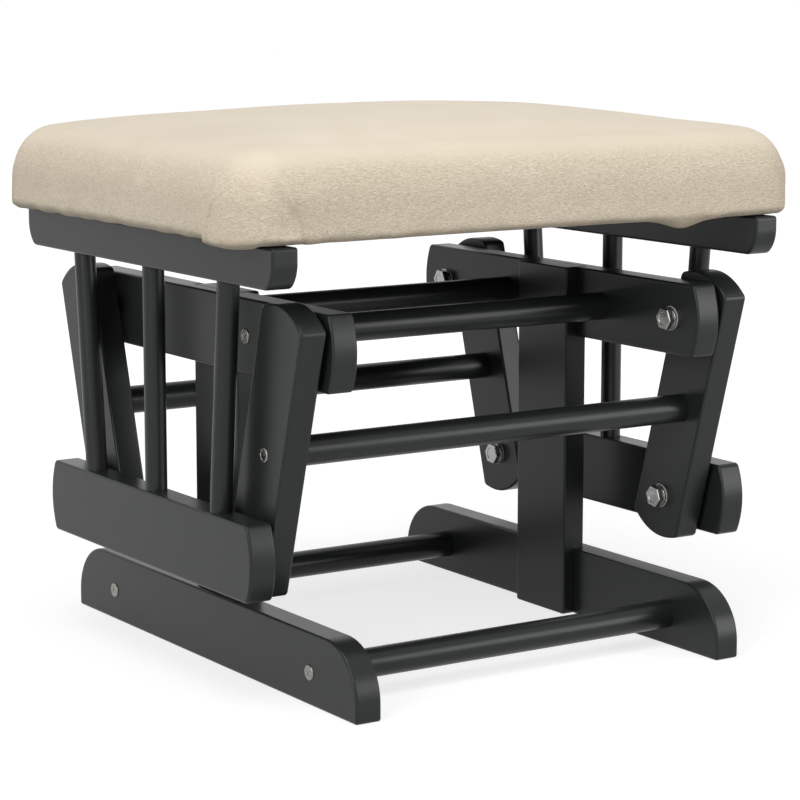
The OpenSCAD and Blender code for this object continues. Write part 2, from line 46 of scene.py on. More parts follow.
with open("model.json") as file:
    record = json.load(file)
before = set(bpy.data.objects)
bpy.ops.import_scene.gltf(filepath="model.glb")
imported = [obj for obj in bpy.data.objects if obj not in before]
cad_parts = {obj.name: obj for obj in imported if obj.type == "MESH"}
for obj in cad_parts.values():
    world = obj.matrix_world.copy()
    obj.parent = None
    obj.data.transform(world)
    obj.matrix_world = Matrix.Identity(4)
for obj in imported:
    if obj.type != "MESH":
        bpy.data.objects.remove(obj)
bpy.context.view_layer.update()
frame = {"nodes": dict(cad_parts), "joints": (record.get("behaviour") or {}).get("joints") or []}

MM = 0.001
SIDES = {"left": -1, "right": 1}
ENDS = ("front", "rear")
SPINDLES = ("front", "middle", "rear")
# Corners of a square of half width 1, anticlockwise
SQUARE = np.array([[-1, -1], [1, -1], [1, 1], [-1, 1]])

# Share of the corner distance at which a cubic curve's handles make a quarter circle
QUARTER_HANDLE = 0.5523
# Points along a bulged edge of a board, and steps round its eased and its widely rounded corners
BULGE_STEPS, EASED_STEPS, ROUND_STEPS = 14, 5, 16
# Steps round a turned piece; a multiple of 12, so that hexagons keep their corners
TURN_STEPS = 48
TURN = 2 * math.pi * np.arange(TURN_STEPS) / TURN_STEPS
# Width of the flat strips that keep shading true beside a rounding
KEEPER = 0.35 * MM
# How far a cutter runs past the face that it opens
PAST = 2 * MM

# Holes round the fittings of the frame: radii, and depths from the face that they open
SCREW_HOLE, SCREW_SEAT, SCREW_SEAT_DEPTH, SCREW_REACH = 3.1 * MM, 5.4 * MM, 1.8 * MM, 38 * MM
BUSH_HOLE, BEARING_HOLE, BEARING_DEPTH = 6.6 * MM, 11.1 * MM, 7 * MM
INSERT_HOLE, SLEEVE_HOLE, INSERT_DEPTH = 6.1 * MM, 9.8 * MM, 14 * MM
SEAT_SCREW_HOLE, SEAT_SCREW_HEAD, SEAT_SCREW_HEAD_DEPTH = 2.4 * MM, 4.6 * MM, 8 * MM
# Distance of the seat screws from the middle of a top rail
SEAT_SCREW_Y = 55 * MM

# Radii of the pivot bolts, their washers and spacers, and the washers' thickness
BOLT_SHANK, RING_BORE, WASHER, SPACER, WASHER_THICK = 4 * MM, 4.1 * MM, 8.2 * MM, 6.1 * MM, 1.5 * MM
# How far each pair of pivot bolts was turned when it was done up, in degrees
BOLT_TURNS = {("top", "front"): -6, ("top", "rear"): -3, ("low", "front"): -11, ("low", "rear"): -6}


def linear(code):
    """Linear colour of an sRGB hex code: ((c + 0.055) / 1.055) ^ 2.4, or c / 12.92 in the toe."""
    parts = [int(code[i : i + 2], 16) / 255 for i in (1, 3, 5)]
    return tuple(c / 12.92 if c <= 0.04045 else ((c + 0.055) / 1.055) ** 2.4 for c in parts)


def length_of(title, words, millimetres):
    """A length property."""
    return bpy.props.FloatProperty(
        name=title, description=words, default=millimetres * MM, min=0.0, unit="LENGTH",
        subtype="DISTANCE",
    )


def share_of(title, words, value):
    """A property from 0 to 1."""
    return bpy.props.FloatProperty(
        name=title, description=words, default=value, min=0.0, max=1.0, subtype="FACTOR"
    )


def colour_of(title, words, code):
    """A colour property, given as an sRGB hex code."""
    return bpy.props.FloatVectorProperty(
        name=title, description=words, default=linear(code), min=0.0, max=1.0, size=3,
        subtype="COLOR",
    )


class OttomanSizes(bpy.types.PropertyGroup):
    """Sizes that finish the pieces; the rest comes from the frame."""

    arris: length_of("Arris", "Radius of the sanded edges of the boards", 1.6)
    corner_ease: length_of("Corner easing", "How far the boards' corners are rounded off", 2.2)
    foot_round: length_of("Foot rounding", "Radius of the upper corners of a foot", 38)
    rail_bulge: length_of("Rail end bulge", "Bulge of the ends of head and lower rails", 6)
    arm_bulge: length_of("Arm end bulge", "Bulge of the ends of the swing arms", 8)
    arm_over_top: length_of("Arm above pivot", "Reach of an arm past its upper pivot", 23)
    arm_over_low: length_of("Arm below pivot", "Reach of an arm past its lower pivot", 22)
    top_rail_round: length_of("Top rail rounding", "Radius of a top rail's lower corners", 21)
    top_rail_upright: length_of("Top rail end", "Straight part of a top rail's end", 10)
    housing: length_of("Housing", "Depth to which a post is let into foot and rail", 9)
    joint_line: length_of("Joint line", "Gap round a post in its housing", 0.8)
    dowel_seat: length_of("Dowel seat", "Depth of the sockets of the cross dowels", 8)
    socket_play: length_of("Socket play", "Gap round a rod in its socket", 0.12)
    head_across: length_of("Bolt head", "Width across the flats of a pivot bolt's head", 14)
    head_height: length_of("Bolt head height", "Height of a pivot bolt's head", 4.4)
    screw_head: length_of("Screw head", "Diameter of the socket screws' heads", 10.5)
    screw_socket: length_of("Screw socket", "Width across the flats of an arm screw's socket", 5)
    cushion_corner: length_of("Cushion corner", "Radius of the cushion's corners from above", 28)
    cushion_edge: length_of("Cushion edge", "Width of the rounding from the sides to the top", 25)
    cushion_shoulder: length_of("Cushion shoulder", "Height of that rounding", 34)
    cushion_proud: length_of("Cushion proud", "Rise of the stuffed cover above its solid", 0.5)
    cushion_tuck: length_of("Cushion tuck", "Radius where the cover turns under", 6)
    cushion_crown: length_of("Crown", "Rise of the cushion's top to its middle", 13)
    cushion_draw: length_of("Draw", "How far the sides pull in between the corners", 3)
    cushion_lean: length_of("Lean", "How far the sides lean in, from tuck to edge", 0.5)
    fill: share_of("Fill", "How tightly the cushion is stuffed", 0.85)


class OttomanColours(bpy.types.PropertyGroup):
    """Colours of the finishes."""

    paint: colour_of("Paint", "Satin charcoal paint on the wood", "#272a29")
    suede: colour_of("Suede", "Cream microfibre suede", "#eaddc8")
    # The shade colour, darkened further, also makes the painted shade where the cover turns under
    suede_low: colour_of("Suede shade", "The same cloth where its nap lies away", "#d0bfa3")
    zinc: colour_of("Zinc", "Zinc plated steel of the bolts", "#a6a7a4")
    nickel: colour_of("Nickel", "Nickel plated steel of the screws", "#8e8d88")
    nylon: colour_of("Nylon", "Natural nylon of the bushes", "#e2e0d8")
    plywood: colour_of("Plywood", "Birch plywood of the seat board", "#c19f6c")
    lining: colour_of("Lining", "Black non-woven dust cloth", "#1b1b1d")


# Meshes


def grid(rows, columns, rows_join=False, columns_join=True):
    """Quads over a grid of points, row by row; its rows and its columns can join in a circle."""
    high, wide = rows if rows_join else rows - 1, columns if columns_join else columns - 1
    row, column = np.meshgrid(np.arange(high), np.arange(wide), indexing="ij")
    up, beside = (row + 1) % rows, (column + 1) % columns
    corners = [(row, column), (row, beside), (up, beside), (up, column)]
    return np.stack([r * columns + c for r, c in corners], -1).reshape(-1, 4).tolist()


def skin(rings, closed=False):
    """Points and faces of a skin over rings of points, closed by flat ends or on itself."""
    rows, columns = rings.shape[:2]
    faces = grid(rows, columns, closed)
    if not closed:
        faces.append(list(range(columns))[::-1])
        faces.append(list(range((rows - 1) * columns, rows * columns)))
    return rings.reshape(-1, 3), faces


def mesh_object(name, skins):
    """Object at the origin whose mesh holds the given skins."""
    points, faces, count = [], [], 0
    for skin_points, skin_faces in skins:
        points.append(skin_points)
        faces += [[i + count for i in face] for face in skin_faces]
        count += len(skin_points)
    mesh = bpy.data.meshes.new(name)
    mesh.from_pydata(np.concatenate(points).tolist(), [], faces)
    made = bpy.data.objects.new(name, mesh)
    bpy.context.scene.collection.objects.link(made)
    return made


def vectors(items, key):
    """One vector of each item of a mesh, as an array."""
    flat = np.empty(len(items) * 3, np.float32)
    items.foreach_get(key, flat)
    return flat.reshape(-1, 3).astype(float)


def smooth(made, sharp_from=None):
    """Smooth shading, which breaks at edges sharper than an angle in degrees, if one is given."""
    mesh = made.data
    mesh.polygons.foreach_set("use_smooth", np.ones(len(mesh.polygons), bool))
    if sharp_from:
        mesh.set_sharp_from_angle(angle=math.radians(sharp_from))
    mesh.update()


def bake_modifiers(made):
    """Puts what the modifiers make into the mesh and removes them."""
    ready = made.evaluated_get(bpy.context.evaluated_depsgraph_get())
    mesh = bpy.data.meshes.new_from_object(ready)
    made.modifiers.clear()
    made.data = mesh


def cut(made, cutters):
    """Cuts the given closed skins, which don't touch each other, out of an object."""
    tool = mesh_object("tool", cutters)
    change = made.modifiers.new("Cut", "BOOLEAN")
    change.operation, change.solver, change.object = "DIFFERENCE", "EXACT", tool
    bake_modifiers(made)
    bpy.data.objects.remove(tool)


def finish(made, body, coat, *nodes):
    """Gives a piece its material and body, and hides the frame nodes that it stands for."""
    made.data.materials.clear()
    made.data.materials.append(materials()[coat])
    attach(made, body)
    if nodes:
        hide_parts(*nodes)


def rigid(name, skins, body, coat, node, cutters=(), sharp_from=32):
    """Makes a rigid piece from its skins less its cutters, in place of a frame node."""
    made = mesh_object(name, skins)
    if cutters:
        cut(made, cutters)
    smooth(made, sharp_from)
    finish(made, body, coat, node)


def rectangle(low, high):
    """Corners of the rectangle between two corners in (y, z), anticlockwise."""
    low, high = np.asarray(low, float), np.asarray(high, float)
    return (low + high) / 2 + SQUARE * (high - low) / 2


def outline(corners, bulges, eases):
    """Closed outline in (y, z), anticlockwise: each edge is a parabola of the given height,
    4 h t (1 - t), and each corner is cut back by its easing and bridged by a cubic curve."""
    corners = np.asarray(corners, float)
    next_corners, next_eases = np.roll(corners, -1, 0), np.roll(eases, -1)
    edges, bends = [], []
    sides = zip(corners, next_corners, bulges, eases, next_eases)
    for start, stop, bulge, ease, next_ease in sides:
        run = stop - start
        reach = np.hypot(*run)
        out = np.array([run[1], -run[0]]) / reach
        low, high, keep = ease / reach, 1 - next_ease / reach, KEEPER / reach
        inner = np.linspace(low + keep, high - keep, BULGE_STEPS if bulge else 2)
        t = np.concatenate([[low], inner, [high]])[:, None]
        edges.append(start + run * t + out * 4 * bulge * t * (1 - t))
    next_edges = edges[1:] + edges[:1]
    for edge, next_edge, corner, ease in zip(edges, next_edges, next_corners, next_eases):
        a, b = edge[-1], next_edge[0]
        a_handle, b_handle = a + (corner - a) * QUARTER_HANDLE, b + (corner - b) * QUARTER_HANDLE
        steps = EASED_STEPS if ease < 5 * MM else ROUND_STEPS
        t = (np.arange(1, steps) / steps)[:, None]
        from_a = (1 - t) ** 3 * a + 3 * (1 - t) ** 2 * t * a_handle
        bends.append(from_a + 3 * (1 - t) * t**2 * b_handle + t**3 * b)
    return np.concatenate([part for pair in zip(edges, bends) for part in pair])


def barrel(low, high, bulge, ease):
    """Outline of a strip along y between two corners in (y, z), whose ends bulge out from there."""
    return outline(rectangle(low, high), [0, bulge, 0, bulge], [ease] * 4)


def turned_outline(points, at, angle):
    """The outline turned anticlockwise by an angle about its own origin and moved to (y, z)."""
    c, s = math.cos(angle), math.sin(angle)
    return points @ np.array([[c, s], [-s, c]]) + np.asarray(at)


def board(shape, low, high, arris):
    """Board between the planes of x of two corners: the outline is drawn in by r (1 - sin a) at a
    depth of r (1 - cos a), so its long edges are quarter rounds."""
    turn = np.radians(np.linspace(0, 90, 5))
    inset = np.concatenate([[arris + KEEPER], arris * (1 - np.sin(turn)), [0]])
    depth = np.concatenate([[0], arris * (1 - np.cos(turn)), [arris + KEEPER]])
    x = np.concatenate([low[0] + depth, high[0] - depth[::-1]])
    inset = np.concatenate([inset, inset[::-1]])
    step = np.roll(shape, -1, 0) - np.roll(shape, 1, 0)
    out = np.stack([step[:, 1], -step[:, 0]], 1) / np.hypot(step[:, 0], step[:, 1])[:, None]
    flat = shape[None] - inset[:, None, None] * out[None]
    across = np.broadcast_to(x[:, None, None], flat.shape[:2] + (1,))
    return skin(np.concatenate([across, flat], -1))


def block(low, high, foot=1.0):
    """Block between two corners, middle + half width * corner of a square, whose foot is narrower
    by a share."""
    low, high = np.asarray(low, float), np.asarray(high, float)
    share = np.array([foot, 1.0])[:, None, None]
    flat = (low + high)[:2] / 2 + SQUARE * (high - low)[:2] / 2 * share
    level = np.broadcast_to(np.array([low[2], high[2]])[:, None, None], (2, 4, 1))
    return skin(np.concatenate([flat, level], -1))


def turned(distance, radius, origin, axis, closed=False, start=0.0):
    """Turned skin: origin + axis d + r (u cos a + v sin a), for rows of distance and radius. A row
    is one number, or one for each step of the turn."""
    axis = np.asarray(axis, float) / np.linalg.norm(axis)
    helper = np.array([0, 0, 1.0]) if abs(axis[2]) < 0.9 else np.array([0, 1.0, 0])
    u = np.cross(helper, axis)
    u /= np.linalg.norm(u)
    v = np.cross(axis, u)
    around = np.cos(TURN + start)[:, None] * u + np.sin(TURN + start)[:, None] * v
    along, away = (
        np.stack([np.broadcast_to(row, TURN_STEPS) for row in rows])[..., None]
        for rows in (distance, radius)
    )
    return skin(np.asarray(origin, float) + along * axis + away * around, closed)


def hexagon(across):
    """Distance from the middle to the side of a hexagon, at each step of a turn: half its width
    across the flats over the cosine of the angle from the nearest flat's middle."""
    return across / 2 / np.cos(np.radians((np.degrees(TURN) + 30) % 60 - 30))


def stepped(origin, axis, *steps):
    """Turned cutter made of steps, each (from, to, radius)."""
    distance = [d for start, stop, _ in steps for d in (start, stop)]
    radius = [r for _, _, r in steps for _ in (0, 1)]
    return turned(distance, radius, origin, axis)


def rod(start, stop, radius, ease=0.6 * MM):
    """Round rod between two points, with a small chamfer at each end."""
    axis = stop - start
    reach = np.linalg.norm(axis)
    distance = [0, ease, ease + KEEPER, reach - ease - KEEPER, reach - ease, reach]
    narrow = radius - ease
    return turned(distance, [narrow, radius, radius, radius, radius, narrow], start, axis)


# Reading the frame


def points_of(node):
    """Corner points of a frame node, as an array."""
    return vectors(frame["nodes"][node].data.vertices, "co")


def box_of(node):
    """Lowest and highest corner of a frame node."""
    low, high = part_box(node)
    return np.array(low), np.array(high)


def rod_of(node):
    """Ends and radius of a straight round node, from its points about their longest axis."""
    points = np.unique(np.round(points_of(node), 6), axis=0)
    middle = (points.min(0) + points.max(0)) / 2
    axis = np.linalg.svd(points - middle, full_matrices=False)[2][0]
    axis *= np.sign(axis[np.argmax(np.abs(axis))])
    along = (points - middle) @ axis
    radius = np.linalg.norm(points - middle - along[:, None] * axis, axis=1).max()
    return middle + along.min() * axis, middle + along.max() * axis, radius


def reach_of(node):
    """Least and greatest distance of a node's points from the middle plane, on either side."""
    away = np.abs(points_of(node)[:, 0])
    return away.min(), away.max()


PIVOTS = {joint["name"]: np.array(joint["pos_m"][1:3], float) for joint in frame["joints"]}


def pivots(end):
    """Upper and lower pivot of the arms at one end, in (y, z); the rear ones mirror the front."""
    flip = (1, 1) if end == "front" else (-1, 1)
    return PIVOTS["front_swing"] * flip, PIVOTS["seat_pivot"] * flip


def arm_line(end):
    """Length of the arms at one end from pivot to pivot, and the angle of that line in (y, z)."""
    top, low = pivots(end)
    return np.hypot(*(low - top)), math.atan2(*(low - top)[::-1])


# Materials

# Places of the colour sockets of a Mix node, whose names its other types of value share
FIRST, SECOND, MIXED = 6, 7, 2
# Materials of the finishes by their names, made once by materials()
MATERIALS = {}


def add(tree, kind, inputs=None, **settings):
    """Adds one node and returns its outputs: settings are its own properties, inputs the values of
    its sockets or what feeds them."""
    made = tree.nodes.new(kind)
    for key, value in settings.items():
        setattr(made, key, value)
    for key, value in (inputs or {}).items():
        if isinstance(value, bpy.types.NodeSocket):
            tree.links.new(value, made.inputs[key])
        else:
            made.inputs[key].default_value = value
    return made.outputs


def per(millimetres):
    """Noise scale whose features are about this long."""
    return 1 / (millimetres * MM)


def rgba(colour, factor=1.0):
    """Colour with an alpha of 1, made lighter or darker."""
    return (*[min(1.0, c * factor) for c in colour], 1.0)


def painted_wood(tree, where, colour, stretch, turn=0.0):
    """Sprayed satin paint on hardwood: an even dark coat with soft wide highlights, in which the
    pores of the wood still show as faint lines along the board."""
    along = add(tree, "ShaderNodeMapping", {"Vector": where, "Rotation": (turn, 0, 0)})["Vector"]
    along = add(tree, "ShaderNodeMapping", {"Vector": along, "Scale": stretch})["Vector"]
    # Pores are 0.2 mm wide and 8 mm long; they are drawn 0.7 mm wide to show
    pores = add(tree, "ShaderNodeTexNoise", {
        "Vector": along, "Scale": per(0.7), "Detail": 3.0, "Roughness": 0.6,
    })["Fac"]
    # Orange peel of the sprayed coat, about 3 mm from crest to crest
    peel = add(tree, "ShaderNodeTexNoise", {
        "Vector": where, "Scale": per(3), "Detail": 1.0,
    })["Fac"]
    # Thicker and thinner coat, over a hand's width
    coat = add(tree, "ShaderNodeTexNoise", {
        "Vector": where, "Scale": per(70), "Detail": 3.0,
    })["Fac"]
    tone = add(tree, "ShaderNodeMix", {
        "Factor": coat, FIRST: rgba(colour, 0.86), SECOND: rgba(colour, 1.14),
    }, data_type="RGBA")[MIXED]
    rough = add(tree, "ShaderNodeMapRange", {
        "Value": coat, "From Min": 0.3, "From Max": 0.7, "To Min": 0.28, "To Max": 0.33,
    })["Result"]
    bump = add(tree, "ShaderNodeBump", {
        "Height": peel, "Strength": 0.10, "Distance": 0.12 * MM,
    })["Normal"]
    bump = add(tree, "ShaderNodeBump", {
        "Height": pores, "Strength": 0.18, "Distance": 0.06 * MM, "Normal": bump,
    })["Normal"]
    return add(tree, "ShaderNodeBsdfPrincipled", {
        "Base Color": tone, "Roughness": rough, "Normal": bump, "IOR": 1.47,
        "Specular IOR Level": 0.27,
    })["BSDF"]


def plated_steel(tree, where, colour, roughness):
    """Plated steel: a bright metal, dulled unevenly by the bath and by handling."""
    # Clouding of the plating, about 2.5 mm across
    cloud = add(tree, "ShaderNodeTexNoise", {
        "Vector": where, "Scale": per(2.5), "Detail": 4.0,
    })["Fac"]
    tone = add(tree, "ShaderNodeMix", {
        "Factor": cloud, FIRST: rgba(colour, 0.72), SECOND: rgba(colour, 1.1),
    }, data_type="RGBA")[MIXED]
    rough = add(tree, "ShaderNodeMapRange", {
        "Value": cloud, "From Min": 0.3, "From Max": 0.7,
        "To Min": roughness - 0.06, "To Max": roughness + 0.08,
    })["Result"]
    bump = add(tree, "ShaderNodeBump", {
        "Height": cloud, "Strength": 0.12, "Distance": 0.05 * MM,
    })["Normal"]
    return add(tree, "ShaderNodeBsdfPrincipled", {
        "Base Color": tone, "Roughness": rough, "Metallic": 1.0, "Normal": bump,
    })["BSDF"]


def moulded_nylon(tree, where, colour):
    """Moulded nylon: milky and slightly waxy."""
    # Flow marks of the moulding, about 4 mm across
    cloud = add(tree, "ShaderNodeTexNoise", {
        "Vector": where, "Scale": per(4), "Detail": 2.0,
    })["Fac"]
    tone = add(tree, "ShaderNodeMix", {
        "Factor": cloud, FIRST: rgba(colour, 0.93), SECOND: rgba(colour),
    }, data_type="RGBA")[MIXED]
    bump = add(tree, "ShaderNodeBump", {
        "Height": cloud, "Strength": 0.1, "Distance": 0.05 * MM,
    })["Normal"]
    return add(tree, "ShaderNodeBsdfPrincipled", {
        "Base Color": tone, "Roughness": 0.42, "Normal": bump, "IOR": 1.53,
    })["BSDF"]


def birch_plywood(tree, where, colour):
    """Birch plywood: pale veneers with a fine grain, seen as soft bands on the edge."""
    # Grain is about 1.5 mm wide and 25 mm long
    along = add(tree, "ShaderNodeMapping", {"Vector": where, "Scale": (0.06, 1, 1)})["Vector"]
    grain = add(tree, "ShaderNodeTexNoise", {
        "Vector": along, "Scale": per(1.5), "Detail": 5.0, "Distortion": 0.4,
    })["Fac"]
    # A wave's bands repeat every 2 pi / (20 scale), here 21 mm, so the board shows half of one
    veneer = add(tree, "ShaderNodeTexWave", {
        "Vector": where, "Scale": per(3.4) / 20, "Distortion": 0.3,
    }, bands_direction="Z")["Fac"]
    both = add(tree, "ShaderNodeMath", {0: grain, 1: veneer}, operation="MULTIPLY")["Value"]
    tone = add(tree, "ShaderNodeMix", {
        "Factor": both, FIRST: rgba(colour, 0.7), SECOND: rgba(colour, 1.15),
    }, data_type="RGBA")[MIXED]
    bump = add(tree, "ShaderNodeBump", {
        "Height": grain, "Strength": 0.3, "Distance": 0.1 * MM,
    })["Normal"]
    return add(tree, "ShaderNodeBsdfPrincipled", {
        "Base Color": tone, "Roughness": 0.62, "Normal": bump,
    })["BSDF"]


def microfibre_suede(tree, where, colour, low):
    """Brushed microfibre suede: a soft matt cloth whose nap lies in short, wavy strokes on the
    sides, where it catches light unevenly, and looks smooth and faintly mottled on top."""
    facing = add(tree, "ShaderNodeNewGeometry")["Normal"]
    up = add(tree, "ShaderNodeSeparateXYZ", {"Vector": facing})["Z"]
    side = add(tree, "ShaderNodeMapRange", {
        "Value": up, "From Min": 0.86, "From Max": 0.35,
    }, interpolation_type="SMOOTHSTEP")["Result"]
    # Strokes of the nap are about 2.3 mm long and 0.8 mm high
    wavy = add(tree, "ShaderNodeMapping", {"Vector": where, "Scale": (1, 1, 2.8)})["Vector"]
    nap = add(tree, "ShaderNodeTexNoise", {
        "Vector": wavy, "Scale": per(2.3), "Detail": 1.6, "Roughness": 0.5, "Distortion": 1.1,
    })["Fac"]
    # Fibre ends are finer than a tenth of a millimetre; they are drawn 0.6 mm wide to show
    pile = add(tree, "ShaderNodeTexNoise", {
        "Vector": where, "Scale": per(0.6), "Detail": 2.0,
    })["Fac"]
    # Broad marks where a hand has brushed the nap
    brushed = add(tree, "ShaderNodeTexNoise", {
        "Vector": where, "Scale": per(60), "Detail": 3.0, "Distortion": 0.5,
    })["Fac"]
    strokes = add(tree, "ShaderNodeMapRange", {
        "Value": nap, "From Min": 0.4, "From Max": 0.62,
    })["Result"]
    share = add(tree, "ShaderNodeMath", {0: strokes, 1: 0.6}, operation="MULTIPLY")["Value"]
    stroked = add(tree, "ShaderNodeMix", {
        "Factor": share, FIRST: rgba(colour, 1.09), SECOND: rgba(low),
    }, data_type="RGBA")[MIXED]
    tone = add(tree, "ShaderNodeMix", {
        "Factor": side, FIRST: rgba(colour), SECOND: stroked,
    }, data_type="RGBA")[MIXED]
    mottle = add(tree, "ShaderNodeMapRange", {
        "Value": brushed, "From Min": 0.3, "From Max": 0.7, "To Max": 0.22,
    })["Result"]
    tone = add(tree, "ShaderNodeMix", {
        "Factor": mottle, FIRST: tone, SECOND: rgba(low),
    }, data_type="RGBA")[MIXED]
    # Painted shade: where the cover turns under and faces down, its colour is darkened towards a
    # deep brown
    under = add(tree, "ShaderNodeMapRange", {
        "Value": up, "From Min": -0.05, "From Max": -0.6, "To Max": 0.75,
    })["Result"]
    tone = add(tree, "ShaderNodeMix", {
        "Factor": under, FIRST: tone, SECOND: rgba(low, 0.62),
    }, data_type="RGBA")[MIXED]
    height = add(tree, "ShaderNodeMath", {0: nap, 1: side}, operation="MULTIPLY")["Value"]
    bump = add(tree, "ShaderNodeBump", {
        "Height": height, "Strength": 0.9, "Distance": 1.1 * MM,
    })["Normal"]
    bump = add(tree, "ShaderNodeBump", {
        "Height": pile, "Strength": 0.2, "Distance": 0.12 * MM, "Normal": bump,
    })["Normal"]
    return add(tree, "ShaderNodeBsdfPrincipled", {
        "Base Color": tone, "Roughness": 0.93, "Normal": bump, "Specular IOR Level": 0.2,
        "Sheen Weight": 0.25, "Sheen Roughness": 0.5,
    })["BSDF"]


def dust_cloth(tree, where, colour):
    """Spun-bonded dust cloth: thin black felt with a pressed pattern of small dots."""
    # Dots are pressed 1.8 mm apart
    dots = add(tree, "ShaderNodeTexVoronoi", {
        "Vector": where, "Scale": per(1.8), "Randomness": 0.25,
    })["Distance"]
    # Clumps of fibre, about 3 mm across
    fibres = add(tree, "ShaderNodeTexNoise", {
        "Vector": where, "Scale": per(3), "Detail": 6.0, "Roughness": 0.7,
    })["Fac"]
    tone = add(tree, "ShaderNodeMix", {
        "Factor": fibres, FIRST: rgba(colour, 0.7), SECOND: rgba(colour, 1.6),
    }, data_type="RGBA")[MIXED]
    bump = add(tree, "ShaderNodeBump", {
        "Height": dots, "Strength": 0.5, "Distance": 0.15 * MM,
    })["Normal"]
    return add(tree, "ShaderNodeBsdfPrincipled", {
        "Base Color": tone, "Roughness": 0.85, "Normal": bump,
    })["BSDF"]


def material(name, surface, *values):
    """New material, whose surface is worked out by the given function from object coordinates."""
    made = bpy.data.materials.new(name)
    made.use_nodes = True
    tree = made.node_tree
    tree.nodes.clear()
    where = add(tree, "ShaderNodeTexCoord")["Object"]
    add(tree, "ShaderNodeOutputMaterial", {"Surface": surface(tree, where, *values)})
    return made


def materials():
    """All finishes of the object, made once. Paint comes once for each direction of the wood."""
    if MATERIALS:
        return MATERIALS
    colours = bpy.context.scene.ottoman_colours
    for coat, words, stretch, turn in (
        ("lengthways", "wood along Y", (1, 0.08, 1), 0),
        ("across", "wood along X", (0.08, 1, 1), 0),
        ("upright", "wood along Z", (1, 1, 0.08), 0),
        ("front_arm", "front arms", (1, 0.08, 1), -arm_line("front")[1]),
        ("rear_arm", "rear arms", (1, 0.08, 1), -arm_line("rear")[1]),
    ):
        name = f"Satin paint, {words}"
        MATERIALS[f"paint_{coat}"] = material(name, painted_wood, colours.paint, stretch, turn)
    MATERIALS.update(
        zinc=material("Zinc plated steel", plated_steel, colours.zinc, 0.3),
        nickel=material("Nickel plated steel", plated_steel, colours.nickel, 0.22),
        nylon=material("Moulded nylon", moulded_nylon, colours.nylon),
        plywood=material("Birch plywood", birch_plywood, colours.plywood),
        suede=material("Microfibre suede", microfibre_suede, colours.suede, colours.suede_low),
        lining=material("Spun-bonded dust cloth", dust_cloth, colours.lining),
    )
    return MATERIALS


def dress(node, coat):
    """Gives a frame node a material in place of its own."""
    for place in frame["nodes"][node].material_slots:
        place.material = materials()[coat]


# Boards and rods


def rail_outline(low, high, sizes):
    """Outline of a head or lower rail, whose bulged ends touch the ends of its box."""
    bulge = sizes.rail_bulge
    return barrel(low[1:] + (bulge, 0), high[1:] - (bulge, 0), bulge, sizes.corner_ease)


def inner_outer(low, high, side):
    """Inner and outer face of a board, in x."""
    return (low[0], high[0]) if side > 0 else (high[0], low[0])


def cross_bore(dowel, side, inner, outer, sizes):
    """Cutter for a cross dowel's socket inside a board and its screw's hole outside it."""
    place, _, radius = rod_of(dowel)
    thick = abs(outer - inner)
    return stepped(
        (inner, *place[1:]),
        (side, 0, 0),
        (-PAST, sizes.dowel_seat, radius + sizes.socket_play),
        (sizes.dowel_seat, thick - SCREW_SEAT_DEPTH, SCREW_HOLE),
        (thick - SCREW_SEAT_DEPTH, thick + PAST, SCREW_SEAT),
    )


def bearing_bore(at, side, inner, outer):
    """Cutter for a bush's through hole that widens to the pocket of a ball bearing."""
    thick = abs(outer - inner)
    pocket = thick - BEARING_DEPTH
    return stepped(
        (inner, *at), (side, 0, 0), (-PAST, pocket, BUSH_HOLE), (pocket, thick + PAST, BEARING_HOLE)
    )


def insert_bore(at, side, inner, radius):
    """Cutter for the hole of an insert or a sleeve, from a board's inner face."""
    return stepped((inner, *at), (side, 0, 0), (-PAST, INSERT_DEPTH, radius))


def post_slot(side, inner, low, high, sizes):
    """Cutter for the housing of a post, as deep as the post is let in and open at both ends."""
    deep, line, over = sizes.housing + 0.05 * MM, sizes.joint_line, 5 * MM
    x_low, x_high = sorted((inner - side * PAST, inner + side * deep))
    return block((x_low, low[1] - line, low[2] - over), (x_high, high[1] + line, high[2] + over))


class OTTOMAN_OT_base(bpy.types.Operator):
    """Make the feet, posts and head rails of the base"""

    bl_idname = "ottoman.base"
    bl_label = "Base boards"

    def execute(self, context):
        sizes = context.scene.ottoman_sizes
        arris, ease, rounding = sizes.arris, sizes.corner_ease, sizes.foot_round
        for name, side in SIDES.items():
            foot, post, rail = f"foot_{name}", f"post_{name}", f"head_rail_{name}"
            post_low, post_high = box_of(post)

            low, high = box_of(foot)
            inner, outer = inner_outer(low, high, side)
            shape = rectangle(low[1:], high[1:])
            shape = outline(shape, [0] * 4, [ease, ease, rounding, rounding])
            cutters = [post_slot(side, inner, post_low, post_high, sizes)]
            cutters += [cross_bore(f"base_dowel_{end}", side, inner, outer, sizes) for end in ENDS]
            skins = [board(shape, low, high, arris)]
            rigid(f"{name}_foot", skins, "base", "paint_lengthways", foot, cutters)

            low, high = box_of(rail)
            inner, outer = inner_outer(low, high, side)
            cutters = [post_slot(side, inner, post_low, post_high, sizes)]
            for end in ENDS:
                cutters.append(cross_bore(f"head_dowel_{end}", side, inner, outer, sizes))
                cutters.append(bearing_bore(pivots(end)[0], side, inner, outer))
            skins = [board(rail_outline(low, high, sizes), low, high, arris)]
            rigid(f"{name}_head_rail", skins, "base", "paint_lengthways", rail, cutters)

            shape = outline(rectangle(post_low[1:], post_high[1:]), [0] * 4, [ease] * 4)
            skins = [board(shape, post_low, post_high, 0.7 * arris)]
            rigid(f"{name}_post", skins, "base", "paint_upright", post)
        return {"FINISHED"}


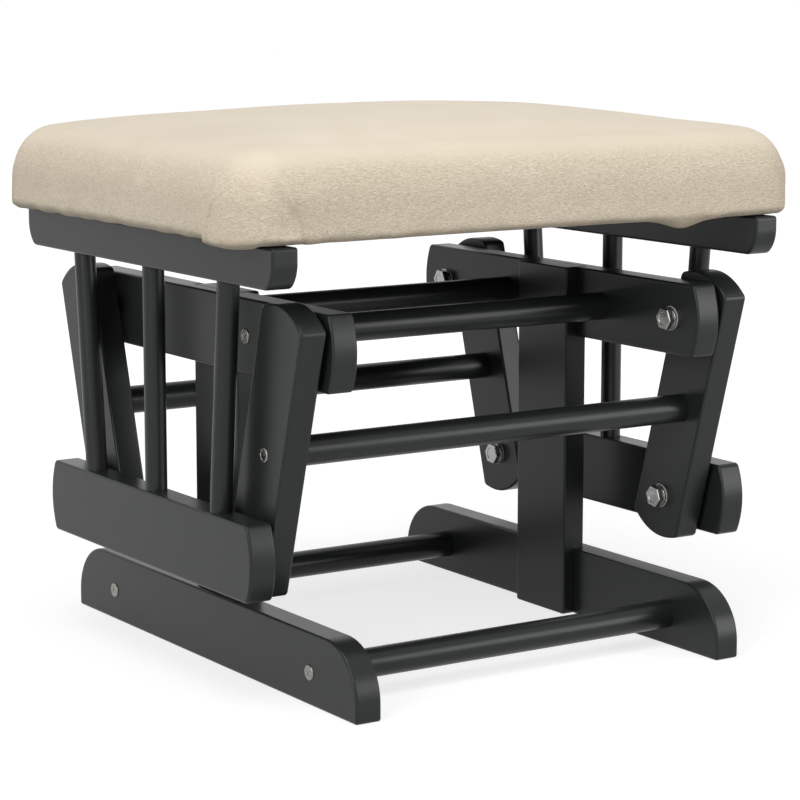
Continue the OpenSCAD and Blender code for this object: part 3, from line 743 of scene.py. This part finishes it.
class OTTOMAN_OT_arms(bpy.types.Operator):
    """Make the four swing arms"""

    bl_idname = "ottoman.arms"
    bl_label = "Swing arms"

    def execute(self, context):
        sizes = context.scene.ottoman_sizes
        # The arms are as wide as the head rails
        low, high = box_of("head_rail_left")
        half = (high[2] - low[2]) / 2
        for end in ENDS:
            top_pivot, low_pivot = pivots(end)
            reach, angle = arm_line(end)
            shape = barrel(
                (-sizes.arm_over_top, -half), (reach + sizes.arm_over_low, half), sizes.arm_bulge,
                sizes.corner_ease,
            )
            shape = turned_outline(shape, top_pivot, angle)
            for name, side in SIDES.items():
                node = f"arm_{end}_{name}"
                low, high = box_of(node)
                inner, outer = inner_outer(low, high, side)
                cutters = [
                    cross_bore(f"arm_dowel_{end}", side, inner, outer, sizes),
                    bearing_bore(low_pivot, side, inner, outer),
                    insert_bore(top_pivot, side, inner, INSERT_HOLE),
                ]
                skins = [board(shape, low, high, sizes.arris)]
                coat = f"paint_{end}_arm"
                rigid(f"{end}_{name}_arm", skins, f"{end}_arms", coat, node, cutters)
        return {"FINISHED"}


class OTTOMAN_OT_seat_rails(bpy.types.Operator):
    """Make the lower rails and top rails of the seat frame"""

    bl_idname = "ottoman.seat_rails"
    bl_label = "Seat rails"

    def execute(self, context):
        sizes = context.scene.ottoman_sizes
        for name, side in SIDES.items():
            sockets = []
            for place in SPINDLES:
                start, stop, radius = rod_of(f"spindle_{name}_{place}")
                reach, over = np.linalg.norm(stop - start), 0.5 * MM
                step = (-over, reach + over, radius + sizes.socket_play)
                sockets.append(stepped(start, stop - start, step))

            node = f"low_rail_{name}"
            low, high = box_of(node)
            inner, _ = inner_outer(low, high, side)
            cutters = sockets + [
                insert_bore(pivots("front")[1], side, inner, INSERT_HOLE),
                insert_bore(pivots("rear")[1], side, inner, SLEEVE_HOLE),
            ]
            skins = [board(rail_outline(low, high, sizes), low, high, sizes.arris)]
            rigid(f"{name}_lower_rail", skins, "seat", "paint_lengthways", node, cutters)

            node = f"top_rail_{name}"
            low, high = box_of(node)
            middle, tall = (low[0] + high[0]) / 2, high[2] - low[2]
            cutters = sockets + [
                stepped(
                    (middle, y, low[2]),
                    (0, 0, 1),
                    (-PAST, SEAT_SCREW_HEAD_DEPTH, SEAT_SCREW_HEAD),
                    (SEAT_SCREW_HEAD_DEPTH, tall + PAST, SEAT_SCREW_HOLE),
                )
                for y in (-SEAT_SCREW_Y, SEAT_SCREW_Y)
            ]
            skins = [board(self.top_rail_outline(low, high, sizes), low, high, sizes.arris)]
            rigid(f"{name}_top_rail", skins, "seat", "paint_lengthways", node, cutters)
        return {"FINISHED"}

    def top_rail_outline(self, low, high, sizes):
        """Outline whose lower corners are arcs from the bottom up to the straight part of the ends:
        an arc of radius r and chord c bulges by r - sqrt(r^2 - c^2 / 4)."""
        radius, ease, soft = sizes.top_rail_round, sizes.corner_ease, 0.8 * MM
        bend_z = high[2] - sizes.top_rail_upright
        drop = bend_z - low[2]
        turn_in = radius - math.sqrt(max(radius**2 - drop**2, 0))
        bulge = radius - math.sqrt(radius**2 - math.hypot(drop, turn_in) ** 2 / 4)
        corners = [
            (low[1] + turn_in, low[2]),
            (high[1] - turn_in, low[2]),
            (high[1], bend_z),
            (high[1], high[2]),
            (low[1], high[2]),
            (low[1], bend_z),
        ]
        return outline(corners, [0, bulge, 0, 0, 0, bulge], [ease, ease, soft, ease, ease, soft])


class OTTOMAN_OT_rods(bpy.types.Operator):
    """Make the cross dowels and the spindles"""

    bl_idname = "ottoman.rods"
    bl_label = "Dowels and spindles"

    def execute(self, context):
        for end in ENDS:
            for group, body in (("base", "base"), ("head", "base"), ("arm", f"{end}_arms")):
                node = f"{group}_dowel_{end}"
                start, stop, radius = rod_of(node)
                bores = [
                    stepped(place, (side, 0, 0), (-SCREW_REACH, PAST, SCREW_HOLE))
                    for place, side in ((start, -1), (stop, 1))
                ]
                skins = [rod(start, stop, radius)]
                rigid(f"{end}_{group}_dowel", skins, body, "paint_across", node, bores)
        for name in SIDES:
            for place in SPINDLES:
                node = f"spindle_{name}_{place}"
                skins = [rod(*rod_of(node))]
                rigid(f"{name}_{place}_spindle", skins, "seat", "paint_upright", node)
        return {"FINISHED"}


# Bolts and screws


def pivot_bolt(at, side, face, end, turn, sizes):
    """Bolt from its end to its head's face: a round shank with a chamfered end, and a hexagon with
    broken edges, turned by some degrees, that has a shallow dish stamped in its face."""
    total, flats = end - face, hexagon(sizes.head_across)
    under, chamfer, back_edge, edge = total - sizes.head_height, 0.8 * MM, 0.15 * MM, 0.45 * MM
    dish, deep = 0.34 * sizes.head_across, 0.35 * MM
    distance, radius = zip(
        (0, BOLT_SHANK - chamfer),
        (chamfer, BOLT_SHANK),
        (under, BOLT_SHANK),
        (under, flats - back_edge),
        (under + back_edge, flats),
        (total - edge, flats),
        (total, flats - edge),
        (total, dish),
        (total - deep, dish - 0.4 * MM),
        (total - 0.6 * deep, 0.3 * dish),
    )
    start = math.radians(turn - 30)
    return turned(distance, radius, (side * end, *at), (-side, 0, 0), start=start)


def ring(at, side, start, stop, outer, edge):
    """Washer or spacer: a ring of rectangular section with broken edges."""
    bore = RING_BORE
    distance = [start + edge, stop - edge, stop, stop, stop - edge, start + edge, start, start]
    radius = [outer, outer, outer - edge, bore + edge, bore, bore, bore + edge, outer - edge]
    return turned(distance, radius, (0, *at), (side, 0, 0), closed=True)


class OTTOMAN_OT_bolts(bpy.types.Operator):
    """Make the pivot bolts with their washers and spacers"""

    bl_idname = "ottoman.bolts"
    bl_label = "Pivot bolts"

    def execute(self, context):
        sizes = context.scene.ottoman_sizes
        # The boards whose outer faces the spacers stand on
        carriers = {"top": "head_rail_right", "low": "arm_front_right"}
        for end in ENDS:
            for level, at in zip(carriers, pivots(end)):
                body = "seat" if (level, end) == ("low", "front") else f"{end}_arms"
                bolts, washers = f"{level}_bolts_{end}", f"{level}_washers_{end}"
                bolt_end = reach_of(bolts)[1]
                near, away = reach_of(washers)
                face, turn = near - sizes.head_height, BOLT_TURNS[level, end]
                board_out = box_of(carriers[level])[1][0]
                bolt_skins, ring_skins = [], []
                for side in SIDES.values():
                    bolt_skins.append(pivot_bolt(at, side, face, bolt_end, turn, sizes))
                    ring_skins.append(ring(at, side, near, near + WASHER_THICK, WASHER, 0.2 * MM))
                    ring_skins.append(ring(at, side, board_out, away, SPACER, 0.1 * MM))
                name = f"{end}_{level}_pivot"
                rigid(f"{name}_bolts", bolt_skins, body, "zinc", bolts, sharp_from=24)
                rigid(f"{name}_washers", ring_skins, body, "zinc", washers, sharp_from=24)
        return {"FINISHED"}


def socket_screw(at, side, face, end, head, socket, sunk):
    """Screw from its end to its head's face: a round head, whose edge is rolled over a quarter
    circle, with a hexagon socket sunk in it."""
    total, half, hollow, under = face - end, head / 2, hexagon(socket), face - end - 2.6 * MM
    shank, chamfer, roll, lead = 3 * MM, 0.8 * MM, 0.7 * MM, 0.35 * MM
    turn = np.radians([0, 22.5, 45, 67.5, 90])
    distance = [0, chamfer, under, under, *(total - roll + roll * np.sin(turn))]
    radius = [shank - chamfer, shank, shank, half, *(half - roll + roll * np.cos(turn))]
    distance += [total, total, total - 0.2 * MM, total - sunk]
    radius += [half - roll - 0.3 * MM, hollow + lead, hollow, hollow]
    return turned(distance, radius, (side * end, *at), (side, 0, 0))


class OTTOMAN_OT_screws(bpy.types.Operator):
    """Make the socket screws at the ends of the cross dowels"""

    bl_idname = "ottoman.screws"
    bl_label = "Dowel screws"

    def execute(self, context):
        sizes = context.scene.ottoman_sizes
        # The screws of the base have small shallow sockets, those of the arms deep ones
        shallow, deep = (0.6 * sizes.screw_socket, 0.35 * MM), (sizes.screw_socket, 2.4 * MM)
        for node, body, dowels, socket in (
            ("foot_screws", "base", ("base_dowel_front", "base_dowel_rear"), shallow),
            ("head_screws", "base", ("head_dowel_front", "head_dowel_rear"), shallow),
            ("arm_screws_front", "front_arms", ("arm_dowel_front",), deep),
            ("arm_screws_rear", "rear_arms", ("arm_dowel_rear",), deep),
        ):
            near, far = reach_of(node)
            skins = [
                socket_screw(rod_of(dowel)[0][1:], side, far, near, sizes.screw_head, *socket)
                for dowel in dowels
                for side in SIDES.values()
            ]
            rigid(f"socket_{node}", skins, body, "nickel", node, sharp_from=30)
        return {"FINISHED"}


class OTTOMAN_OT_fittings(bpy.types.Operator):
    """Finish the bearings, bushes, inserts and sleeves inside the boards, and the seat board"""

    bl_idname = "ottoman.fittings"
    bl_label = "Inner fittings"

    def execute(self, context):
        for node in frame["nodes"]:
            if "bush" in node:
                dress(node, "nylon")
            elif "bearing" in node:
                dress(node, "nickel")
            elif "insert" in node or "sleeve" in node or node == "seat_screws":
                dress(node, "zinc")
        dress("seat_board", "plywood")
        return {"FINISHED"}


# Cushion


def plan(half_x, half_y, corner, draw):
    """Rounded rectangle, anticlockwise, whose sides draw in by d sin^2(pi t) between the corners.
    Its points crowd towards the corners, where the pleats are:
    t = (1 - w) s + w (1 - cos pi s) / 2."""
    arc_steps, side_steps, crowd = 12, 34, 0.75
    share = np.arange(1, side_steps) / side_steps
    t = ((1 - crowd) * share + crowd * (1 - np.cos(math.pi * share)) / 2)[:, None]
    parts = []
    for quarter, (sx, sy) in enumerate(((1, 1), (-1, 1), (-1, -1), (1, -1))):
        angle = math.pi / 2 * (quarter + np.arange(arc_steps + 1) / arc_steps)
        centre = np.array([sx * (half_x - corner), sy * (half_y - corner)])
        parts.append(centre + corner * np.stack([np.cos(angle), np.sin(angle)], 1))
        turn = math.pi / 2 * (quarter + 1)
        out = np.array([math.cos(turn), math.sin(turn)])
        along = np.array([-math.sin(turn), math.cos(turn)])
        length = 2 * ((half_y if quarter % 2 else half_x) - corner)
        parts.append(parts[-1][-1] + along * length * t - out * draw * np.sin(math.pi * t) ** 2)
    return np.concatenate(parts)


def cushion_rings(low, high, sizes, shrink):
    """Rings of the cushion, smaller all round by shrink: a flat base, a tuck, drawn-in sides, a
    rounding that is a quarter of an ellipse, and a dome c (1 - |x|^p) (1 - |y|^p) on top."""
    half_x, half_y = (high[0] - low[0]) / 2, (high[1] - low[1]) / 2
    tuck, edge, lean = sizes.cushion_tuck, sizes.cushion_edge, sizes.cushion_lean
    bottom, rise, crown, power = low[2], sizes.cushion_shoulder, sizes.cushion_crown, 2.4
    side_z = bottom + tuck
    edge_z = high[2] + sizes.cushion_proud - crown - rise

    def level(inset, z, share=1.0):
        inset += shrink
        corner = sizes.cushion_corner - inset / 2
        flat = share * plan(half_x - inset, half_y - inset, corner, sizes.cushion_draw)
        return np.concatenate([flat, np.full((len(flat), 1), z)], 1)

    rows = [level(tuck, bottom, share) for share in (0.04, 0.45, 0.85, 0.95, 1.0)]
    for a in np.radians(np.linspace(0, 90, 5))[1:]:
        rows.append(level(tuck * (1 - math.sin(a)), bottom + tuck * (1 - math.cos(a))))
    rows += [level(lean * t, side_z + (edge_z - side_z) * t) for t in (0.25, 0.5, 0.75)]
    for a in np.radians(np.linspace(0, 90, 10)):
        rows.append(level(lean + edge * (1 - math.cos(a)), edge_z + rise * math.sin(a)))
    for share in (0.96, 0.9, 0.8, 0.66, 0.5, 0.34, 0.18, 0.05):
        row = level(lean + edge, edge_z + rise, share)
        x = np.abs(row[:, 0]) / (half_x - lean - edge - shrink)
        y = np.abs(row[:, 1]) / (half_y - lean - edge - shrink)
        row[:, 2] += crown * np.clip(1 - x**power, 0, 1) * np.clip(1 - y**power, 0, 1)
        rows.append(row)
    return np.stack(rows)


def refine(rings):
    """Rings with twice the rows and columns, on the uniform cubic spline of both directions: old
    points go to (a + 6 b + c) / 8 and new ones to (b + c) / 2, and the outer rows stay."""
    before, after = np.roll(rings, 1, 1), np.roll(rings, -1, 1)
    wide = np.stack([(before + 6 * rings + after) / 8, (rings + after) / 2], 2)
    wide = wide.reshape(len(rings), -1, 3)
    kept = wide.copy()
    kept[1:-1] = (wide[:-2] + 6 * wide[1:-1] + wide[2:]) / 8
    tall = np.empty((2 * len(wide) - 1, *wide.shape[1:]))
    tall[0::2], tall[1::2] = kept, (wide[1:] + wide[:-1]) / 2
    return tall


def ramp(value, zero, one):
    """Smooth step t^2 (3 - 2 t) from 0 at one level to 1 at another, which may be the lower."""
    t = np.clip((value - zero) / (one - zero), 0, 1)
    return t * t * (3 - 2 * t)


def bell(value, middle, width):
    """Bell of height 1 about a middle: exp(-((v - m) / w)^2)."""
    return np.exp(-(((value - middle) / width) ** 2))


def ripple(points, size, seed):
    """Smooth noise from about -1 to 1: seven plane waves, about size long, in seeded directions."""
    chance = np.random.default_rng(seed)
    total = np.zeros(len(points))
    for _ in range(7):
        direction = chance.normal(size=3)
        direction /= np.linalg.norm(direction)
        wave = 2 * math.pi / (size * chance.uniform(0.7, 1.5))
        total += np.sin(points @ direction * wave + chance.uniform(0, 2 * math.pi))
    return total / 4


def swell(made, hold_z, cap, frames=20):
    """Inflates a pad: close cloth under pressure, held below a level, for some frames. The foam
    keeps it from sinking in, so only moves outwards count, and none is longer than the cap."""
    start, out = vectors(made.data.vertices, "co"), vectors(made.data.vertex_normals, "vector")
    group = made.vertex_groups.new(name="held")
    group.add(np.flatnonzero(start[:, 2] < hold_z).tolist(), 1.0, "REPLACE")
    change = made.modifiers.new("Cloth", "CLOTH")
    cloth = change.settings
    cloth.quality = 5
    cloth.mass = 0.3
    cloth.tension_stiffness = cloth.compression_stiffness = 12
    cloth.shear_stiffness = 5
    cloth.bending_stiffness = 0.6
    cloth.use_pressure = True
    cloth.uniform_pressure_force = 4
    cloth.vertex_group_mass = "held"
    cloth.effector_weights.gravity = 0
    change.point_cache.frame_start, change.point_cache.frame_end = 1, frames
    scene = bpy.context.scene
    for number in range(1, frames + 1):
        scene.frame_set(number)
    ready = made.evaluated_get(bpy.context.evaluated_depsgraph_get())
    moved = vectors(ready.data.vertices, "co") - start
    made.modifiers.clear()
    made.vertex_groups.clear()
    scene.frame_set(1)
    moved -= out * np.minimum((moved * out).sum(1), 0)[:, None]
    far = np.linalg.norm(moved, axis=1)[:, None]
    return start, moved * np.minimum(1, cap / np.maximum(far, 1e-9))


def follow(points, start, moved, reach):
    """Points carried along by a coarser mesh: each moves by the mean of the moves near it, weighted
    by exp(-(d / reach)^2). They go in batches, so that the table of distances stays small."""
    carried, batch = [], 400
    for some in np.array_split(points, len(points) // batch + 1):
        away = (some**2).sum(1)[:, None] + (start**2).sum(1)[None] - 2 * some @ start.T
        weight = np.exp(-(away - away.min(1, keepdims=True)) / reach**2)
        carried.append(some + weight @ moved / weight.sum(1, keepdims=True))
    return np.concatenate(carried)


# Pleated patches at the cushion's corners: signs of x and y, how strong, how far the hem hangs,
# then where the left and the right pleat stand, each at the hem and higher up
PATCHES = (
    (-1, -1, 1.0, 1.8 * MM, (-42 * MM, -26 * MM), (39 * MM, 28 * MM)),
    (1, -1, 0.6, 0.6 * MM, (-40 * MM, -29 * MM), (-8 * MM, -9 * MM)),
    (1, 1, 0.75, 2.0 * MM, (-39 * MM, -25 * MM), (35 * MM, 25 * MM)),
    (-1, 1, 0.6, 0.0, (-3 * MM, -3 * MM), (40 * MM, 27 * MM)),
)


def place_round(x, y, half_x, half_y, corner):
    """Distance round the cushion from the middle of the nearest corner, positive along the front
    and rear, negative along the left and right: r (atan2(y, x) - pi / 4) in the corner's arc, and
    beyond it half the arc's length and the straight rest."""
    across, back = half_x - corner - np.abs(x), half_y - corner - np.abs(y)
    half_arc = corner * math.pi / 4
    place = corner * (np.arctan2(-back, -across) - math.pi / 4)
    place = np.where(across >= 0, half_arc + across, place)
    return np.where((back >= 0) & (across < 0), -(half_arc + back), place)


def upholster(mesh, low, high, sizes, rail_out):
    """Adds what hands leave in a cover: pleats at the corners, a wandering and puckered hem that is
    drawn up along the left, and slack cloth underneath. Each is a product of smooth steps and bells
    in the place round the cushion, the height, or x and y."""
    points, out = vectors(mesh.vertices, "co"), vectors(mesh.vertex_normals, "vector")
    x, y = points[:, 0], points[:, 1]
    height = (points[:, 2] - low[2]) / (high[2] - low[2])
    half_x, half_y = (high[0] - low[0]) / 2, (high[1] - low[1]) / 2
    place = place_round(x, y, half_x, half_y, sizes.cushion_corner)
    # The level direction out of the side, and 1 on the sides but 0 on top and underneath
    level = out * (1, 1, 0)
    level /= np.maximum(np.linalg.norm(level, axis=1), 1e-6)[:, None]
    wall = ramp(np.abs(out[:, 2]), 0.9, 0.5)

    move, patched = np.zeros_like(points), np.zeros(len(points))
    rise = np.maximum(height, 0) / 0.57
    lumps, soft = 0.8 + 0.3 * ripple(points, 26 * MM, 11), 1.2 * MM
    for sx, sy, strength, hang, (left, left_high), (right, right_high) in PATCHES:
        here = (x * sx > 0) & (y * sy > 0)
        left = left + (left_high - left) * rise
        right = right + (right_high - right) * rise**1.6
        patch = ramp(place, left - soft, left + soft) * ramp(place, right + soft, right - soft)
        patched = np.maximum(patched, patch * here * strength)
        # The left pleat is a fine ridge; the right one is a wider fold above, with a hollow beside
        # it below
        ridge = bell(place, left + 1.5 * MM, 1.6 * MM)
        fold = bell(place, right - 2 * MM, 3 * MM) * ramp(height, 0.2, 0.45)
        crease = bell(place, right - MM, 1.3 * MM)
        hollow = bell(place, right - 8 * MM, 4.5 * MM)
        hollow *= ramp(height, 0.04, 0.14) * ramp(height, 0.6, 0.4)
        push = 0.9 * patch + 2.0 * ridge + 1.7 * fold + 0.9 * crease - 1.6 * hollow
        push *= MM * strength * ramp(height, 0.66, 0.34) * wall * here
        move += level * push[:, None]
        droop = here * patch * ramp(height, 0.2, 0.02)
        droop *= ramp(np.abs(x), rail_out + 3 * MM, rail_out + 9 * MM)
        move[:, 2] -= hang * droop * lumps

    # The hem wanders a little, with small puckers where staples pull it
    wander = 0.5 * MM * ramp(height, 0.3, 0.04) * wall * ripple(points, 44 * MM, 3)
    pucker = 0.25 * MM * ramp(height, 0.2, 0.04) * wall * ripple(points, 14 * MM, 5)
    move += level * (wander + pucker)[:, None]
    rim = ramp(np.abs(x), rail_out + 2 * MM, rail_out + 8 * MM)
    between_rails = np.abs(x) < rail_out - 26 * MM
    rim = np.maximum(rim, ramp(np.abs(y), half_y - 9 * MM, half_y - 3 * MM) * between_rails)
    waves = 0.6 + 0.7 * ripple(points, 24 * MM, 7)
    move[:, 2] -= 0.7 * MM * rim * ramp(height, 0.14, 0.03) * waves
    # Along the left side the hem is drawn up, but for a sag towards the rear
    beyond_rail = ramp(-x, rail_out + 2 * MM, rail_out + 9 * MM)
    edge = ramp(-x, half_x - 9 * MM, half_x - 4 * MM)
    drawn = (1.2 * beyond_rail + 0.7 * edge) * (1 - 0.7 * bell(y, 165 * MM, 13 * MM))
    move[:, 2] += MM * drawn * (1 - patched) * ramp(height, 0.3, 0.03)
    # Slack cloth under the front edge, beside the right rail
    slack = bell(x, 124 * MM, 17 * MM) * bell(y, -167 * MM, 6 * MM)
    move[:, 2] -= 6.0 * MM * slack * ramp(height, 0.16, 0.05)
    # Faint hollows of the foam
    hollows = 0.5 * MM * ramp(height, 0.1, 0.5) * ripple(points, 110 * MM, 9)
    move += out * hollows[:, None]
    mesh.vertices.foreach_set("co", (points + move).astype(np.float32).ravel())
    mesh.update()


class OTTOMAN_OT_cushion(bpy.types.Operator):
    """Make the padded cushion with its fabric cover"""

    bl_idname = "ottoman.cushion"
    bl_label = "Cushion"

    def execute(self, context):
        sizes = context.scene.ottoman_sizes
        low, high = box_of("seat_cover")
        rings = cushion_rings(low, high, sizes, 1.0 * MM)
        # The cloth moves an even mesh of the same form, and the finer skin follows it
        pad = mesh_object("pad", [skin(rings)])
        change = pad.modifiers.new("Remesh", "REMESH")
        change.mode, change.voxel_size = "VOXEL", 6 * MM
        bake_modifiers(pad)
        start, moved = swell(pad, low[2] + 6 * MM, 4 * MM)
        rings = follow(rings.reshape(-1, 3), start, moved, 9 * MM).reshape(rings.shape)
        bpy.data.objects.remove(pad)
        made = mesh_object("cushion", [skin(refine(refine(rings)))])
        upholster(made.data, low, high, sizes, box_of("top_rail_right")[1][0])
        smooth(made)
        finish(made, "seat", "suede", "seat_cover", "foam_pad")
        return {"FINISHED"}


class OTTOMAN_OT_underside(bpy.types.Operator):
    """Make the dust cover under the seat and the staples that hold it"""

    bl_idname = "ottoman.underside"
    bl_label = "Dust cover"

    def execute(self, context):
        low, high = box_of("dust_cover")
        self.sheet(low, high)
        self.staples(low, high)
        return {"FINISHED"}

    def sheet(self, low, high):
        """A flat sheet on a grid, with a faint ripple between its staples."""
        rows, columns = 90, 70
        x, y = np.linspace(low[0], high[0], rows), np.linspace(low[1], high[1], columns)
        x, y = np.meshgrid(x, y, indexing="ij")
        points = np.stack([x, y, np.full_like(x, high[2] - 0.15 * MM)], -1).reshape(-1, 3)
        points[:, 2] -= 0.12 * MM * (1 + ripple(points, 45 * MM, 21))
        made = mesh_object("dust_sheet", [(points, grid(rows, columns, columns_join=False))])
        change = made.modifiers.new("Thickness", "SOLIDIFY")
        change.thickness, change.offset = 0.25 * MM, 0
        smooth(made)
        finish(made, "seat", "lining", "dust_cover")

    def staples(self, low, high):
        """Flat wire crowns, 10 mm long, inside the rails and along the front and rear edges."""
        rail_low, rail_high = box_of("top_rail_right")
        edge, clear, half_long, half_wide = 3.5 * MM, 6 * MM, 5 * MM, 0.5 * MM
        places = []
        for y in np.linspace(low[1] + 30 * MM, high[1] - 30 * MM, 9):
            for x in (-rail_low[0] + edge, rail_low[0] - edge):
                places.append((x, y, half_wide, half_long))
        for x in np.linspace(low[0] + 40 * MM, high[0] - 40 * MM, 11):
            if not rail_low[0] - clear < abs(x) < rail_high[0] + clear:
                for y in (low[1] + edge, high[1] - edge):
                    places.append((x, y, half_long, half_wide))
        z_low, z_high = low[2] - 0.25 * MM, low[2] + 0.6 * MM
        crowns = [
            block((x - half_x, y - half_y, z_low), (x + half_x, y + half_y, z_high), 0.94)
            for x, y, half_x, half_y in places
        ]
        finish(mesh_object("staples", crowns), "seat", "zinc")


# Stage

# Floor: its half width and its grey, from where to where its lift grows, and the least and the most
# of it
FLOOR_HALF, FLOOR_GREY = 9.0, 0.45
LIFT_FROM, LIFT_TO, LIFT_NEAR, LIFT_FAR = 0.35, 1.6, 0.74, 0.92
# Brightness of the white surroundings as a light
SURROUND_LIGHT = 0.28
# Large soft lamps, each with its place, width and power: one overhead, one from the front left, and
# a low one from the front right, whose light runs along the rods
LAMPS = (
    ("overhead", (-0.4, -0.4, 2.2), 1.7, 20),
    ("front_left", (-2.15, -1.0, 1.1), 1.4, 23),
    ("front_right", (1.5, -1.9, 0.66), 1.25, 18.5),
)
LAMP_AIM = (0, 0, 0.2)
# Where the photographer stood, the lens in millimetres, and its dip and turn in degrees
CAMERA_PLACE, CAMERA_LENS = (-1.0260, -1.5878, 0.4765), 120.09
CAMERA_DIP, CAMERA_TURN = 9.2336, -32.964


def seen_directly(tree):
    """1 for rays from the camera, from gloss or through glass, else 0."""
    path = add(tree, "ShaderNodeLightPath")
    either = add(tree, "ShaderNodeMath", {
        0: path["Is Camera Ray"], 1: path["Is Glossy Ray"],
    }, operation="MAXIMUM")["Value"]
    return add(tree, "ShaderNodeMath", {
        0: either, 1: path["Is Transmission Ray"],
    }, operation="MAXIMUM")["Value"]


def matt_floor(tree, where):
    """Matt pale floor, lifted where it is seen so that it turns white but keeps the shadow; the
    lift grows away from the object, where the lamps don't reach."""
    away = add(tree, "ShaderNodeVectorMath", {0: where}, operation="LENGTH")["Value"]
    level = add(tree, "ShaderNodeMapRange", {
        "Value": away, "From Min": LIFT_FROM, "From Max": LIFT_TO,
        "To Min": LIFT_NEAR, "To Max": LIFT_FAR,
    }, interpolation_type="SMOOTHSTEP")["Result"]
    matt = add(tree, "ShaderNodeBsdfDiffuse", {"Color": rgba([FLOOR_GREY] * 3)})["BSDF"]
    direct = seen_directly(tree)
    lift = add(tree, "ShaderNodeMath", {0: direct, 1: level}, operation="MULTIPLY")["Value"]
    glow = add(tree, "ShaderNodeEmission", {"Strength": lift})["Emission"]
    return add(tree, "ShaderNodeAddShader", {0: matt, 1: glow})["Shader"]


class OTTOMAN_OT_stage(bpy.types.Operator):
    """Set up the floor, the lights and the camera"""

    bl_idname = "ottoman.stage"
    bl_label = "Stage"

    def execute(self, context):
        scene = context.scene
        self.floor()
        self.world(scene)
        for name, place, width, power in LAMPS:
            self.lamp(scene, name, place, width, power)
        self.camera(scene)
        scene.view_settings.view_transform = "Standard"
        return {"FINISHED"}

    def floor(self):
        """One wide square at z = 0."""
        corners = np.concatenate([SQUARE * FLOOR_HALF, np.zeros((4, 1))], 1)
        made = mesh_object("floor", [(corners, [[0, 1, 2, 3]])])
        made.data.materials.append(material("Matt floor", matt_floor))

    def world(self, scene):
        """White surroundings: full white where they are seen or reflected, softer as a light."""
        world = bpy.data.worlds.new("Studio")
        world.use_nodes = True
        scene.world = world
        tree = world.node_tree
        tree.nodes.clear()
        level = add(tree, "ShaderNodeMapRange", {
            "Value": seen_directly(tree), "To Min": SURROUND_LIGHT,
        })["Result"]
        white = add(tree, "ShaderNodeBackground", {
            "Color": rgba([1.0] * 3), "Strength": level,
        })["Background"]
        add(tree, "ShaderNodeOutputWorld", {"Surface": white})

    def lamp(self, scene, name, place, width, power):
        """Round soft lamp that faces the object."""
        lamp = bpy.data.lights.new(name, "AREA")
        lamp.shape, lamp.size, lamp.energy = "DISK", width, power
        made = bpy.data.objects.new(name, lamp)
        scene.collection.objects.link(made)
        made.location = place
        x, y, z = np.array(LAMP_AIM) - np.array(place)
        dip, turn = math.atan2(math.hypot(x, y), -z), math.atan2(y, x) - math.pi / 2
        made.rotation_euler = (dip, 0, turn)

    def camera(self, scene):
        """Camera where the photographer stood, at the front left and a little above."""
        lens = bpy.data.cameras.new("camera")
        lens.lens, lens.sensor_width = CAMERA_LENS, 36.0
        made = bpy.data.objects.new("camera", lens)
        scene.collection.objects.link(made)
        made.location = CAMERA_PLACE
        made.rotation_euler = (math.radians(90 - CAMERA_DIP), 0, math.radians(CAMERA_TURN))
        scene.camera = made


class OTTOMAN_PT_panel(bpy.types.Panel):
    """Panel in the sidebar of the 3D view, with the sizes, the colours and the steps."""

    bl_idname = "OTTOMAN_PT_panel"
    bl_label = "Glider Ottoman"
    bl_space_type = "VIEW_3D"
    bl_region_type = "UI"
    bl_category = "Ottoman"

    def draw(self, context):
        layout = self.layout
        for group in (context.scene.ottoman_sizes, context.scene.ottoman_colours):
            column = layout.column(align=True)
            for key in group.__annotations__:
                column.prop(group, key)
        for step in STEPS:
            layout.operator(step.bl_idname)


STEPS = (
    OTTOMAN_OT_stage,
    OTTOMAN_OT_base,
    OTTOMAN_OT_arms,
    OTTOMAN_OT_seat_rails,
    OTTOMAN_OT_rods,
    OTTOMAN_OT_bolts,
    OTTOMAN_OT_screws,
    OTTOMAN_OT_fittings,
    OTTOMAN_OT_cushion,
    OTTOMAN_OT_underside,
)
CLASSES = (OttomanSizes, OttomanColours, *STEPS, OTTOMAN_PT_panel)


def register():
    """Register the classes and the two groups of properties."""
    for kind in CLASSES:
        bpy.utils.register_class(kind)
    bpy.types.Scene.ottoman_sizes = bpy.props.PointerProperty(type=OttomanSizes)
    bpy.types.Scene.ottoman_colours = bpy.props.PointerProperty(type=OttomanColours)


def unregister():
    """Undo what register did."""
    del bpy.types.Scene.ottoman_colours
    del bpy.types.Scene.ottoman_sizes
    for kind in reversed(CLASSES):
        bpy.utils.unregister_class(kind)


def main():
    """Build everything."""
    register()
    bpy.ops.ottoman.stage()
    bpy.ops.ottoman.base()
    bpy.ops.ottoman.arms()
    bpy.ops.ottoman.seat_rails()
    bpy.ops.ottoman.rods()
    bpy.ops.ottoman.bolts()
    bpy.ops.ottoman.screws()
    bpy.ops.ottoman.fittings()
    bpy.ops.ottoman.cushion()
    bpy.ops.ottoman.underside()


if __name__ == "__main__":
    main()
